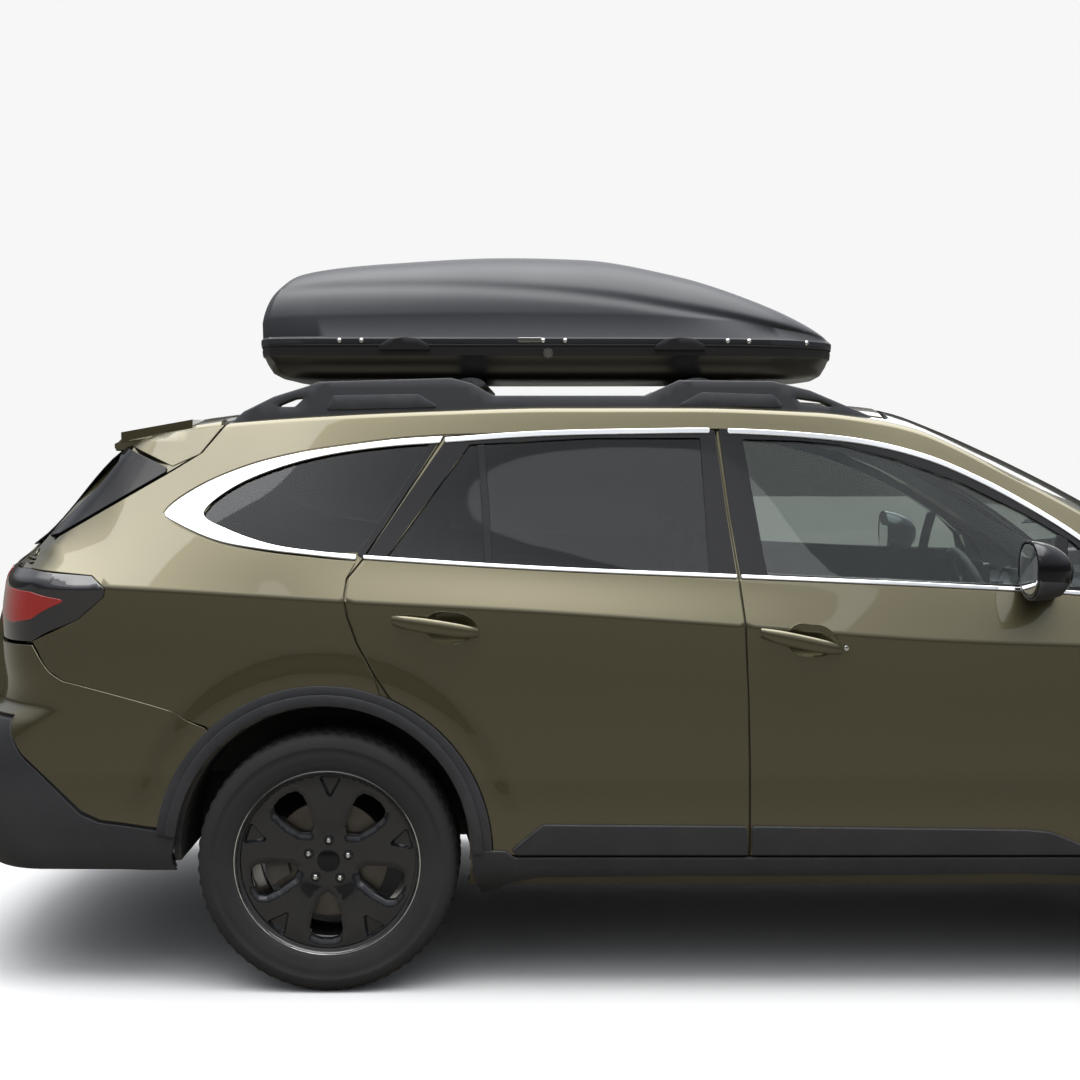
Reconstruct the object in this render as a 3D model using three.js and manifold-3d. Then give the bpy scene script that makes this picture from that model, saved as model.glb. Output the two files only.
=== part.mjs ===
// Five-door estate-bodied SUV with a roof box, built from one body surface that is cut into panels.
// Millimetres. +X is forward, +Y is the car's left, +Z is up. The origin is on the ground in the middle of the car.
import * as THREE from "three";
import { mergeVertices, mergeGeometries } from "three/addons/utils/BufferGeometryUtils.js";
import Module from "manifold-3d";

const wasm = await Module();
wasm.setup();

// ---------------------------------------------------------------- driving dimensions
const LENGTH = 4860; // bumper to bumper
const WHEELBASE = 2745;
const REAR_OVERHANG = 1145;
const REAR_AXLE_X = -LENGTH / 2 + REAR_OVERHANG;
const FRONT_AXLE_X = REAR_AXLE_X + WHEELBASE;
const HALF_WIDTH = 915; // body side at the crease, without the arch trims
const TYRE_R = 358;
const TYRE_W = 225;
const RIM_R = 250; // outer lip of the wheel
const REAR_TRACK = 1600;
const FRONT_TRACK = 1590;
const ARCH_R = 402; // wheel arch opening
const ARCH_RISE = 30; // arch centre above the axle
const ARCH_BACK = 8; // arch centre behind the axle
const ARCH_TRIM = 56; // width of the black trim round each arch
const SHUT_GAP = 5; // between any two panels
const PANEL = 26; // depth of a plain body panel with its inner pressing
const DOOR_DEPTH = 112; // whole door below the glass
const FRAME_DEPTH = 46; // window frame of a door
const RIM_WIDTH = 60; // pillar and sill flange round a door opening
const SEAL_LAP = 34; // how far the opening's inner flange reaches in behind the door
const GLASS = 6; // thickness of every pane
const GLASS_SET_IN = 5; // the pane lies this far below the paint
const ROOF_BOX_X = [-1552, 215];
const ROOF_BOX_HALF = 425;
const ROOF_BOX_LIP_Z = 1792; // parting line of base and lid
const ROOF_BOX_WALL = 8;
const SIDES = { right: -1, left: 1 };

// ---------------------------------------------------------------- curves
// Smooth curve through [x, value] pairs that never overshoots between them.
function curve(...pairs) {
  const n = pairs.length;
  const x = pairs.map((p) => p[0]);
  const v = pairs.map((p) => p[1]);
  const slope = x.slice(1).map((b, i) => (v[i + 1] - v[i]) / (b - x[i]));
  const tangent = x.map((_, i) => {
    if (i === 0) return slope[0];
    if (i === n - 1) return slope[n - 2];
    const [a, b] = [slope[i - 1], slope[i]];
    return a * b <= 0 ? 0 : (2 * a * b) / (a + b);
  });
  return (at) => {
    if (at <= x[0]) return v[0];
    if (at >= x[n - 1]) return v[n - 1];
    let i = 0;
    while (at > x[i + 1]) i++;
    const h = x[i + 1] - x[i];
    const t = (at - x[i]) / h;
    const [t2, t3] = [t * t, t * t * t];
    return (
      (2 * t3 - 3 * t2 + 1) * v[i] +
      (t3 - 2 * t2 + t) * h * tangent[i] +
      (3 * t2 - 2 * t3) * v[i + 1] +
      (t3 - t2) * h * tangent[i + 1]
    );
  };
}

// ---------------------------------------------------------------- the body surface
const SILL_Z = 288;
// Half width of the body along its crease, seen from above.
const halfWidth = curve(
  [-2430, HALF_WIDTH - 40], [-1900, HALF_WIDTH - 20], [-1285, HALF_WIDTH - 2], [-700, HALF_WIDTH + 3],
  [0, HALF_WIDTH + 3], [700, HALF_WIDTH], [1460, HALF_WIDTH - 4], [1800, HALF_WIDTH - 24], [2430, HALF_WIDTH - 90]);
// Height of the crease that runs from the tail lamp to the headlamp.
const creaseZ = curve(
  [-2300, 1128], [-1850, 1109], [-1228, 1073], [-760, 1049], [-163, 1008], [373, 968], [743, 955], [1200, 946],
  [1700, 925], [2200, 890]);
// Height of the window line, which runs on as a soft shoulder over the front wing.
const beltZ = curve(
  [-2300, 1140], [-2100, 1172], [-1850, 1200], [-1467, 1205], [-1182, 1181], [-652, 1149], [-162, 1129], [383, 1105],
  [760, 1084], [1060, 1052], [1500, 985], [1800, 945], [2300, 885]);
const beltInset = curve([-2300, 40], [-1900, 62], [700, 58], [1100, 46], [1500, 38], [2300, 30]);
// Upper edge of the body side: rear corner, roof edge, A-pillar, crest of the front wing.
const edgeZ = curve(
  [-2300, 1158], [-2200, 1180], [-2120, 1228], [-1900, 1478], [-1860, 1500], [-1750, 1528], [-1600, 1550],
  [-1380, 1568], [-1020, 1585], [-658, 1594], [-298, 1594], [62, 1582], [255, 1558], [357, 1533], [441, 1498],
  [580, 1425], [720, 1350], [837, 1281], [1000, 1160], [1060, 1104], [1200, 1078], [1500, 1030], [1800, 985],
  [2100, 925], [2300, 880], [2430, 850]);
const edgeY = curve(
  [-2300, 740], [-2120, 700], [-1900, 628], [-1600, 640], [-1200, 657], [-700, 668], [-200, 672], [255, 655],
  [600, 700], [837, 752], [1000, 790], [1200, 792], [1500, 776], [1800, 745], [2100, 700], [2430, 640]);
// Side profile on the middle plane: tailgate, roof and windscreen, and the bonnet apart from them.
const roofZ = curve(
  [-2255, 1165], [-2215, 1200], [-2180, 1228], [-1950, 1492], [-1900, 1515], [-1750, 1555], [-1600, 1582],
  [-1380, 1603], [-1020, 1622], [-658, 1632], [-298, 1633], [62, 1626], [255, 1612], [330, 1603], [480, 1552],
  [630, 1488], [780, 1416], [980, 1312], [1225, 1165], [1400, 1055]);
const screenEdgeZ = curve([837, 1281], [1000, 1160], [1100, 1085], [1400, 850]);
const bonnetZ = curve([900, 1168], [1225, 1136], [1500, 1096], [1800, 1046], [2100, 976], [2300, 912], [2430, 866]);
// Rear and front ends of the body on the middle plane, and how far back each corner's rounding reaches.
const rearX = curve(
  [280, -2300], [380, -2408], [480, -2430], [620, -2428], [700, -2405], [745, -2372], [778, -2316], [850, -2300],
  [1000, -2298], [1100, -2284], [1165, -2255], [1200, -2215], [1228, -2180], [1350, -2075], [1492, -1950],
  [1515, -1900], [1555, -1750], [1582, -1600]);
const frontX = curve(
  [240, 2320], [330, 2392], [420, 2424], [480, 2430], [680, 2422], [800, 2400], [870, 2372], [930, 2330], [1100, 2000]);
const rearReach = curve([300, 330], [740, 330], [900, 280], [1165, 260], [1228, 160], [1500, 140]);
const FRONT_REACH = 520;
const CORNER_POWER = 2.4;
const CROWN_POWER = 2.3;

const corner = (u) => (u >= 1 ? 1 : u <= 0 ? 0 : Math.pow(1 - Math.pow(1 - u, CORNER_POWER), 1 / CORNER_POWER));

// Half width of the body at x and z, for a skin that lies `deep` below the paint.
function sideY(x, z, deep = 0) {
  const crease = creaseZ(x);
  const wide = halfWidth(x);
  let y;
  if (z <= crease) {
    const inset = curve([SILL_Z - 20, 95], [300, 50], [340, 20], [400, 8], [470, 5], [600, 11], [crease - 150, 10],
      [crease - 55, 6], [crease, 0]);
    y = wide - inset(z);
  } else {
    y = curve([crease, wide], [beltZ(x), wide - beltInset(x)], [Math.max(edgeZ(x), beltZ(x) + 8), edgeY(x)])(z);
  }
  const rear = corner((x - rearX(z) - deep) / rearReach(z));
  const front = corner((frontX(z) - deep - x) / FRONT_REACH);
  return Math.max(0, (y - deep) * Math.min(rear, front));
}

// ---------------------------------------------------------------- meshes and booleans
// Collects triangles, shares equal vertices and drops triangles with no area.
class Builder {
  constructor() {
    this.position = [];
    this.index = [];
    this.seen = new Map();
  }
  vertex([x, y, z]) {
    const key = `${Math.round(x * 100)},${Math.round(y * 100)},${Math.round(z * 100)}`;
    if (!this.seen.has(key)) {
      this.seen.set(key, this.position.length / 3);
      this.position.push(x, y, z);
    }
    return this.seen.get(key);
  }
  triangle(a, b, c) {
    const [i, j, k] = [a, b, c].map((p) => this.vertex(p));
    if (i !== j && j !== k && i !== k) this.index.push(i, j, k);
  }
  // Quads between two rows of points, and round to the first again if closed.
  strip(p, q, closed = false) {
    const n = p.length;
    for (let i = 0; i < (closed ? n : n - 1); i++) {
      const j = (i + 1) % n;
      this.triangle(p[i], p[j], q[j]);
      this.triangle(p[i], q[j], q[i]);
    }
  }
  solid() {
    const make = (index) => new wasm.Manifold(new wasm.Mesh({
      numProp: 3,
      vertProperties: new Float32Array(this.position),
      triVerts: new Uint32Array(index),
    }));
    const made = make(this.index);
    if (made.volume() > 0) return made;
    const turned = [];
    for (let i = 0; i < this.index.length; i += 3) turned.push(this.index[i], this.index[i + 2], this.index[i + 1]);
    return make(turned);
  }
}

function toSolid(geometry) {
  const bare = geometry.index ? geometry.toNonIndexed() : geometry.clone();
  bare.deleteAttribute("normal");
  bare.deleteAttribute("uv");
  const merged = mergeVertices(bare, 1e-3);
  return new wasm.Manifold(new wasm.Mesh({
    numProp: 3,
    vertProperties: merged.attributes.position.array,
    triVerts: new Uint32Array(merged.index.array),
  }));
}

function toGeometry(solid) {
  const mesh = solid.getMesh();
  const position = new Float32Array(mesh.numVert * 3);
  for (let i = 0; i < mesh.numVert; i++)
    position.set(mesh.vertProperties.subarray(i * mesh.numProp, i * mesh.numProp + 3), i * 3);
  const geometry = new THREE.BufferGeometry();
  geometry.setAttribute("position", new THREE.BufferAttribute(position, 3));
  geometry.setIndex(new THREE.BufferAttribute(new Uint32Array(mesh.triVerts), 1));
  geometry.computeVertexNormals();
  return geometry;
}

const join = (...solids) => solids.reduce((a, b) => a.add(b));
const cut = (solid, ...tools) => tools.reduce((a, b) => a.subtract(b), solid);

// The mirror image of a solid on the other side of the car.
function mirrored(solid) {
  const geometry = toGeometry(solid);
  geometry.scale(1, -1, 1);
  const index = geometry.index.array;
  for (let i = 0; i < index.length; i += 3) [index[i + 1], index[i + 2]] = [index[i + 2], index[i + 1]];
  geometry.deleteAttribute("normal");
  return toSolid(geometry);
}

function box([x0, x1], [y0, y1], [z0, z1]) {
  return toSolid(new THREE.BoxGeometry(x1 - x0, y1 - y0, z1 - z0)
    .translate((x0 + x1) / 2, (y0 + y1) / 2, (z0 + z1) / 2));
}

// A cylinder along Y.
function drum(radius, [y0, y1], [x, z], sides = 32) {
  return toSolid(new THREE.CylinderGeometry(radius, radius, y1 - y0, sides).translate(x, (y0 + y1) / 2, z));
}

// A round bar between two points.
function bar(from, to, radius, sides = 8) {
  const [a, b] = [new THREE.Vector3(...from), new THREE.Vector3(...to)];
  const along = b.clone().sub(a);
  const turn = new THREE.Quaternion().setFromUnitVectors(new THREE.Vector3(0, 1, 0), along.clone().normalize());
  const middle = a.add(b).multiplyScalar(0.5);
  return toSolid(new THREE.CylinderGeometry(radius, radius, along.length(), sides)
    .applyMatrix4(new THREE.Matrix4().compose(middle, turn, new THREE.Vector3(1, 1, 1))));
}

const shapeOf = (points) => new THREE.Shape(points.map(([a, b]) => new THREE.Vector2(a, b)));
const extruded = (points, depth) => new THREE.ExtrudeGeometry(shapeOf(points), { depth, bevelEnabled: false });
// Outlines pushed through the car: seen from the side [x, z], from above [x, y] and from behind [y, z].
const throughSide = (points, [y0, y1]) => toSolid(extruded(points, y1 - y0).rotateX(Math.PI / 2).translate(0, y1, 0));
const throughTop = (points, [z0, z1]) => toSolid(extruded(points, z1 - z0).translate(0, 0, z0));
const throughEnd = (points, [x0, x1]) =>
  toSolid(extruded(points, x1 - x0).rotateX(Math.PI / 2).rotateZ(Math.PI / 2).translate(x0, 0, 0));

// A smooth stretch of outline through the given points.
function smooth(points, pieces) {
  return new THREE.SplineCurve(points.map(([a, b]) => new THREE.Vector2(a, b))).getPoints(pieces)
    .map((p) => [p.x, p.y]);
}

function arc([x, z], radius, fromDeg, toDeg, pieces) {
  return Array.from({ length: pieces + 1 }, (_, i) => {
    const a = THREE.MathUtils.degToRad(fromDeg + ((toDeg - fromDeg) * i) / pieces);
    return [x + radius * Math.cos(a), z + radius * Math.sin(a)];
  });
}

// An outline moved outwards by `by` all round, or inwards if it is negative.
function grown(points, by) {
  const area = THREE.ShapeUtils.area(points.map(([a, b]) => new THREE.Vector2(a, b)));
  const side = Math.sign(area);
  const n = points.length;
  return points.map((p, i) => {
    const [a, b] = [points[(i + n - 1) % n], points[(i + 1) % n]];
    const normal = ([x0, z0], [x1, z1]) => {
      const l = Math.hypot(x1 - x0, z1 - z0);
      return [(side * (z1 - z0)) / l, (-side * (x1 - x0)) / l];
    };
    const [m, k] = [normal(a, p), normal(p, b)];
    const share = Math.max(0.35, 1 + m[0] * k[0] + m[1] * k[1]);
    return [p[0] + (by * (m[0] + k[0])) / share, p[1] + (by * (m[1] + k[1])) / share];
  });
}

// ---------------------------------------------------------------- the whole body as a solid
const CORNER_STEPS = [0, 0.05, 0.2, 0.5, 1];
const MIDDLE_X = [-1700, -1200, -600, 0, 560, 900, 1060, 1350, 1680];
const SIDE_Z = [SILL_Z, 345, 480, 620];

// Heights of the rings at x, from the underside up to the window line or the crest of the wing.
function ringHeights(x, deep) {
  const crease = creaseZ(x);
  const top = curve([900, beltZ(x)], [1060, edgeZ(x)])(x) - (x > 980 ? deep : 0);
  return [...SIDE_Z.map((z, i) => (i ? z : z + deep)), crease - 60, crease, (crease + top) / 2, top]
    .map((z) => Math.max(z, SILL_Z + deep));
}

function ringAt(level, deep) {
  const endX = (end, sign) => {
    let x = 2300 * sign;
    for (let i = 0; i < 4; i++) x = end(ringHeights(x, deep)[level]) - deep * sign;
    return x;
  };
  const zAt = (x) => ringHeights(x, deep)[level];
  const rear = endX(rearX, -1);
  const front = endX(frontX, 1);
  const stations = [
    ...CORNER_STEPS.map((u) => rear + u * rearReach(zAt(rear))),
    ...MIDDLE_X,
    ...CORNER_STEPS.map((u) => front - u * FRONT_REACH).reverse(),
  ];
  const last = stations.length - 1;
  return stations.map((x, i) => [x, i === 0 || i === last ? 0 : -sideY(x, zAt(x), deep), zAt(x)]);
}

function lowerBody(deep) {
  const made = new Builder();
  const levels = SIDE_Z.length + 4;
  const rings = Array.from({ length: levels }, (_, k) => ringAt(k, deep));
  const other = (row) => row.map(([x, y, z]) => [x, -y, z]);
  for (let k = 0; k < levels - 1; k++) {
    made.strip(rings[k], rings[k + 1]);
    made.strip(other(rings[k + 1]), other(rings[k]));
  }
  // The deck: crowned over the bonnet, flat inside the cabin. The underside is flat.
  const shares = [1, 0.8, 0.45, 0];
  const rows = shares.map((share) => rings[levels - 1].map(([x, y, z]) => {
    const rise = Math.max(0, bonnetZ(x) - deep - z) * curve([850, 0], [1000, 1])(x);
    return [x, y * share, z + rise * (1 - Math.pow(share, CROWN_POWER))];
  }));
  const under = [rings[0], rings[0].map(([x, , z]) => [x, 0, z])];
  for (let k = 0; k < rows.length - 1; k++) {
    made.strip(rows[k], rows[k + 1]);
    made.strip(other(rows[k + 1]), other(rows[k]));
  }
  made.strip(under[1], under[0]);
  made.strip(other(under[0]), other(under[1]));
  return made.solid();
}

const CABIN_X = [-2180, -2120, -1950, -1860, -1600, -1100, -500, 62, 230, 330, 480, 700, 900, 1000, 1225, 1330];

// Sections of the cabin from the window line up, each a closed loop.
function cabin(deep) {
  const section = (x) => {
    const top = x > 837 ? screenEdgeZ(x) : edgeZ(x);
    const low = beltZ(x) - (x > 980 ? 160 : 0);
    const edge = Math.max(top - deep, low + 4);
    const middle = Math.max(roofZ(x) - deep, edge + 2);
    const wide = (z) => (x > 837 ? edgeY(x) - deep : sideY(x, z, deep));
    const right = [[low - 60, wide(low) - 70], [low, wide(low)], [(low + edge) / 2, wide((low + edge) / 2)],
      [edge, wide(edge)]].map(([z, y]) => [x, -y, z]);
    const crown = [0.8, 0.4].map((share) =>
      [x, -wide(edge) * share, edge + (middle - edge) * (1 - Math.pow(share, CROWN_POWER))]);
    const half = [...right, ...crown];
    return [...half, [x, 0, middle], ...half.map(([a, y, z]) => [a, -y, z]).reverse()];
  };
  const made = new Builder();
  const loops = CABIN_X.map((x, i) =>
    section(x + (i === 0 ? deep : 0)));
  for (let i = 0; i < loops.length - 1; i++) made.strip(loops[i], loops[i + 1], true);
  for (const [loop, way] of [[loops[0], 1], [loops[loops.length - 1], -1]]) {
    const [x] = loop[0];
    const hub = [x, 0, (loop[0][2] + loop[6][2]) / 2];
    for (let i = 0; i < loop.length; i++) {
      const next = loop[(i + 1) % loop.length];
      if (way > 0) made.triangle(hub, next, loop[i]);
      else made.triangle(hub, loop[i], next);
    }
  }
  return made.solid();
}

const bodies = new Map();
// The body with `deep` taken off all over.
function body(deep) {
  if (!bodies.has(deep)) bodies.set(deep, join(lowerBody(deep), cabin(deep)));
  return bodies.get(deep);
}

// The plan of the body at height z as an outline [x, y], right side first.
function plan(z, deep, from, to) {
  const steps = 14;
  const right = Array.from({ length: steps + 1 }, (_, i) => {
    const x = from + ((to - from) * i) / steps;
    return [x, -sideY(x, z, deep)];
  });
  return [...right, ...right.map(([x, y]) => [x, -y]).reverse()];
}

// ---------------------------------------------------------------- outlines seen from the side, [x, z]
const EVERY_Y = [-1100, 1100];
const RIGHT = [-1100, -1];
const DOOR_FOOT_Z = 382;
const archCentre = (axleX) => [axleX - ARCH_BACK, TYRE_R + ARCH_RISE];
const REAR_ARCH = archCentre(REAR_AXLE_X);
const FRONT_ARCH = archCentre(FRONT_AXLE_X);

// Upper edge of the bright trim round the side windows, from the rear pillar to the mirror.
const TRIM_TOP = [[-974, 1513], [-706, 1531], [-398, 1538], [-207, 1539], [22, 1528], [219, 1505], [388, 1461],
  [529, 1399], [642, 1337], [756, 1264], [838, 1200], [898, 1140]];
const gapBetweenDoors = (offset) => [[-215, 1539], [-188, 1299], [-166, 1137], [-153, 1005], [-143, 808],
  [-138, 617], [-138, DOOR_FOOT_Z]].map(([x, z]) => [x + offset, z]);

function frontDoorOutline() {
  const top = TRIM_TOP.filter(([x]) => x > -200);
  return [...gapBetweenDoors(SHUT_GAP / 2).reverse(), ...top, [930, 1080], [938, 1000], [935, 850], [922, 620],
    [908, DOOR_FOOT_Z]];
}

function rearDoorOutline() {
  const top = TRIM_TOP.filter(([x]) => x < -250).reverse();
  const along = arc(REAR_ARCH, ARCH_R + ARCH_TRIM + SHUT_GAP, 67, 4, 9);
  return [[-772, DOOR_FOOT_Z], ...gapBetweenDoors(-SHUT_GAP / 2).reverse(), ...top, [-1080, 1346], [-1182, 1187],
    [-1226, 1131], [-1231, 1086], [-1223, 1034], [-1197, 960], [-1152, 876], ...along];
}

const WINDOWS = {
  front_door: [[-144, 1513], [21, 1506], [142, 1492], [302, 1450], [470, 1386], [640, 1300], [760, 1226], [836, 1160],
    [860, 1100], [383, 1121], [-88, 1143]],
  rear_door: [[-245, 1148], [-259, 1514], [-560, 1512], [-902, 1494], [-1125, 1186], [-842, 1164]],
  quarter: [...smooth([[-1191, 1200], [-1305, 1202], [-1441, 1222], [-1564, 1262], [-1635, 1303], [-1559, 1373],
    [-1432, 1429], [-1292, 1465], [-1125, 1488], [-1000, 1496]], 16)],
};

// ---------------------------------------------------------------- cutting panels from the body
const skin = (from, to) => cut(body(from), body(to));
const within = (solid, ...regions) => regions.reduce((a, b) => a.intersect(b), solid);
const moved = (solid, x, y, z) => solid.translate([x, y, z]);

const WALL = 72; // side wall of the cabin with its trim
const FLOOR_Z = [322, 350];
const HEM = 10; // the folded edge of a door's outer panel
const SEAL = 6; // room for the rubber between that edge and the flange behind it
const FLANGE = 24; // how far the flange reaches in behind the door's edge
const INNER_GAP = 10; // between the flange and the door's inner box
const GLASS_GAP = 0.4; // pane to frame
const JOINT = 0.3; // between pieces that are fixed to each other

const SILL_BOX = 130; // depth of the sill below the floor
const cabinHollow = join(body(WALL), throughTop(plan(400, WALL, -2240, 1400), [FLOOR_Z[0] - JOINT, 430]),
  throughTop(plan(400, SILL_BOX, -2240, 1400), [0, FLOOR_Z[0]]));
const wheelHoles = (radius, from) => [REAR_ARCH, FRONT_ARCH].map((centre) => drum(radius, [-1100, from], centre));

// A door's prism without the parts within `by` of its front, rear and lower edges.
const shrunk = (prism, by) =>
  within(prism, moved(prism, by, 0, 0), moved(prism, -by, 0, 0), box([-3000, 3000], EVERY_Y, [DOOR_FOOT_Z + by, 3000]));

const DOORS = { front_door: frontDoorOutline(), rear_door: rearDoorOutline() };

function doorHole(outline) {
  const wide = throughSide(grown(outline, SHUT_GAP), RIGHT);
  const narrow = shrunk(throughSide(grown(outline, 1), RIGHT), FLANGE);
  return join(within(wide, cut(body(-60), body(HEM + SEAL))), narrow);
}

function door(name) {
  const prism = throughSide(DOORS[name], RIGHT);
  const upper = box([-3000, 3000], EVERY_Y, [1085, 3000]);
  const inner = shrunk(prism, FLANGE + INNER_GAP);
  const panel = within(skin(0, HEM), prism);
  const shell = within(skin(HEM - 1, DOOR_DEPTH), cut(inner, upper));
  const frame = within(skin(HEM - 1, FRAME_DEPTH), inner, upper);
  return cut(join(panel, shell, frame), throughSide(WINDOWS[name], RIGHT));
}

function pane(outline) {
  return within(skin(GLASS_SET_IN, GLASS_SET_IN + GLASS), throughSide(grown(outline, -GLASS_GAP), RIGHT));
}

// ---------------------------------------------------------------- regions of the other panels
const ROOF_REAR_X = -1590;
const ROOF_HALF = 598;
const SCREEN_TOP_X = 332;
const COWL_X = 1235;
const screenPlan = (by) => {
  const right = [[SCREEN_TOP_X - 46 - by, -560 - by], [520 - by, -600 - by], [900, -672 - by], [1128 + by, -715 - by]];
  const foot = smooth([[1128 + by, -715 - by], [1206 + by, -420], [COWL_X + by, 0], [1206 + by, 420],
    [1128 + by, 715 + by]], 8).slice(1, -1);
  const head = smooth([[SCREEN_TOP_X - 46 - by, 560 + by], [SCREEN_TOP_X - by, 0], [SCREEN_TOP_X - 46 - by, -560 - by]], 6)
    .slice(1, -1);
  return [...right, ...foot, ...right.map(([x, y]) => [x, -y]).reverse(), ...head];
};
const roofPlan = [[ROOF_REAR_X, -ROOF_HALF], [SCREEN_TOP_X - 50, -ROOF_HALF],
  ...smooth([[SCREEN_TOP_X - 51, -562], [SCREEN_TOP_X - 5, 0], [SCREEN_TOP_X - 51, 562]], 6),
  [SCREEN_TOP_X - 50, ROOF_HALF], [ROOF_REAR_X, ROOF_HALF]];

const BONNET_SIDE = [[1132, -744], [1250, -752], [1500, -736], [1800, -700], [2060, -640]];
const bonnetPlan = (by) => {
  const side = BONNET_SIDE.map(([x, y], i) => [x - (i ? 0 : by), y - by]);
  const nose = smooth([[2060, -640 - by], [2200, -520 - by], [2282 + by, -300], [2306 + by, 0], [2282 + by, 300],
    [2200, 520 + by], [2060, 640 + by]], 12).slice(1, -1);
  const back = smooth([[1132 - by, 744 + by], [1236 - by, 420], [1272 - by, 0], [1236 - by, -420],
    [1132 - by, -744 - by]], 8).slice(1, -1);
  return [...side, ...nose, ...side.map(([x, y]) => [x, -y]).reverse(), ...back];
};

// The tailgate: above the lamps everything behind a line down the rear pillar, below them the middle of the tail.
const TAILGATE_HALF = 604;
const TAILGATE_FOOT_Z = 752;
function tailgateRegion(by) {
  const pillar = [[-1592, 1700], [-1592, 1560], [-1659, 1473], [-1731, 1428], [-2040, 1244], [-2095, 1180],
    [-2600, 1180], [-2600, 1700]];
  const upper = throughSide(grown(pillar, by), EVERY_Y);
  const lower = box([-2600, -2060 + by], [-TAILGATE_HALF - by, TAILGATE_HALF + by], [TAILGATE_FOOT_Z - by, 1200]);
  return join(upper, lower);
}

const LAMP_DEPTH = 62;
function tailLampRegion(by) {
  const outline = [[-2400, 1150], [-2099, 1155], [-1919, 1139], [-1879, 1107], [-1883, 1085], [-1957, 1021],
    [-2085, 961], [-2130, 952], [-2400, 946]];
  return within(throughSide(grown(outline, by), RIGHT), box([-2600, 0], [-1100, -TAILGATE_HALF - 6 + by], [0, 3000]));
}

function headlampRegion(by) {
  const outline = [[1975, 868], [2046, 798], [2190, 771], [2420, 762], [2420, 864], [2210, 886], [2088, 902]];
  return within(throughSide(grown(outline, by), RIGHT), box([0, 2600], [-1100, -560 + by], [0, 3000]));
}

const rearBumperOutline = (by) => grown([[-1612, 735], [-2003, 858], [-2040, 884], [-2085, 956], [-2600, 950],
  [-2600, 100], [-1690, 100], [-1690, 420]], by);
const frontBumperOutline = (by) => grown([[1790, 700], [1985, 784], [2600, 900], [2600, 100], [1868, 100],
  [1868, 480]], by);
const BUMPER = 34;

// ---------------------------------------------------------------- materials and the scene
const look = (color, roughness, metalness = 0) => new THREE.MeshStandardMaterial({ color, roughness, metalness });
const LOOKS = {
  paint: look(0x6b664c, 0.25, 0.5),
  cladding: look(0x202226, 0.75),
  black: look(0x121316, 0.3),
  dark: look(0x2b2d30, 0.6),
  glass: look(0x5f6b73, 0.05),
  lamp: look(0x7a1f22, 0.15),
  clear: look(0xc9d2d8, 0.1),
  tyre: look(0x1b1b1c, 0.9),
  wheel: look(0x1a1c20, 0.3, 0.6),
  metal: look(0x6c6e70, 0.5, 0.8),
  cloth: look(0x3a3a3c, 0.95),
};
const group = new THREE.Group();
// The panel itself, without any sliver that a cut leaves beside it.
const mainPiece = (solid) => solid.decompose().reduce((a, b) => (b.volume() > a.volume() ? b : a));
function add(name, solid, material) {
  const mesh = new THREE.Mesh(toGeometry(mainPiece(solid)), LOOKS[material]);
  mesh.name = name;
  group.add(mesh);
}
function addBothSides(name, solid, material) {
  add(`${name}_right`, solid, material);
  add(`${name}_left`, mirrored(solid), material);
}

// ---------------------------------------------------------------- body panels
const SILL_END_X = 1034;
const PILLAR_FOOT_X = 1140; // the wing meets the foot of the windscreen pillar here
const PILLAR_FOOT_Z = 1078;
function sideFrame() {
  const sheet = cut(body(0), cabinHollow);
  const outline = [[-2600, 280], [SILL_END_X, 280], [SILL_END_X, DOOR_FOOT_Z - 3], [900, DOOR_FOOT_Z - 3],
    [900, PILLAR_FOOT_Z], [PILLAR_FOOT_X, PILLAR_FOOT_Z], [PILLAR_FOOT_X, 1320], [700, 1500], [300, 1750],
    [-2600, 1750]];
  const side = within(sheet, throughSide(outline, RIGHT));
  const pillarFoot = within(cut(body(PANEL + 12), body(118)),
    box([884, 1010], [-1100, -400], [DOOR_FOOT_Z - 4, PILLAR_FOOT_Z + 3]));
  return cut(join(side, pillarFoot), box([-1630, 900], [-ROOF_HALF - JOINT, 1], [1400, 3000]),
    throughTop(screenPlan(JOINT), [1000, 3000]), throughTop(bonnetPlan(SHUT_GAP), [1000, 1400]),
    tailgateRegion(SHUT_GAP), tailLampRegion(JOINT), throughSide(rearBumperOutline(JOINT), RIGHT),
    doorHole(DOORS.front_door), doorHole(DOORS.rear_door), throughSide(WINDOWS.quarter, RIGHT),
    ...wheelHoles(ARCH_R, -500));
}

function fender() {
  const outline = [[SILL_END_X, 280], [2700, 280], [2700, 1320], [PILLAR_FOOT_X, 1320], [PILLAR_FOOT_X, PILLAR_FOOT_Z],
    [935, PILLAR_FOOT_Z], [943, 1000], [940, 850], [927, 620], [913, DOOR_FOOT_Z - 3], [SILL_END_X, DOOR_FOOT_Z - 3]];
  const piece = within(skin(0, PANEL), throughSide(grown(outline, -JOINT), [-1100, -300]));
  return cut(piece, throughTop(bonnetPlan(SHUT_GAP), [700, 1400]), headlampRegion(JOINT),
    throughSide(frontBumperOutline(JOINT), EVERY_Y), box([2000, 2700], [-590, 0], [0, 1400]),
    box([1100, 1400], [-744, 0], [1000, 1400]),
    ...wheelHoles(ARCH_R, -300));
}

function frontBumper() {
  const piece = within(skin(0, BUMPER), throughSide(frontBumperOutline(0), EVERY_Y));
  const lamps = headlampRegion(JOINT);
  return cut(piece, throughTop(bonnetPlan(SHUT_GAP), [700, 1400]), lamps, mirrored(lamps),
    box([1000, 2150], [-700, 700], [0, 800]), ...wheelHoles(ARCH_R, 1100));
}

function rearBumper() {
  const piece = within(skin(0, BUMPER), throughSide(rearBumperOutline(0), EVERY_Y));
  const lamps = tailLampRegion(JOINT);
  return cut(piece, tailgateRegion(SHUT_GAP), lamps, mirrored(lamps), box([-2280, 0], [-720, 720], [0, 500]),
    ...wheelHoles(ARCH_R, 1100));
}

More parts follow.
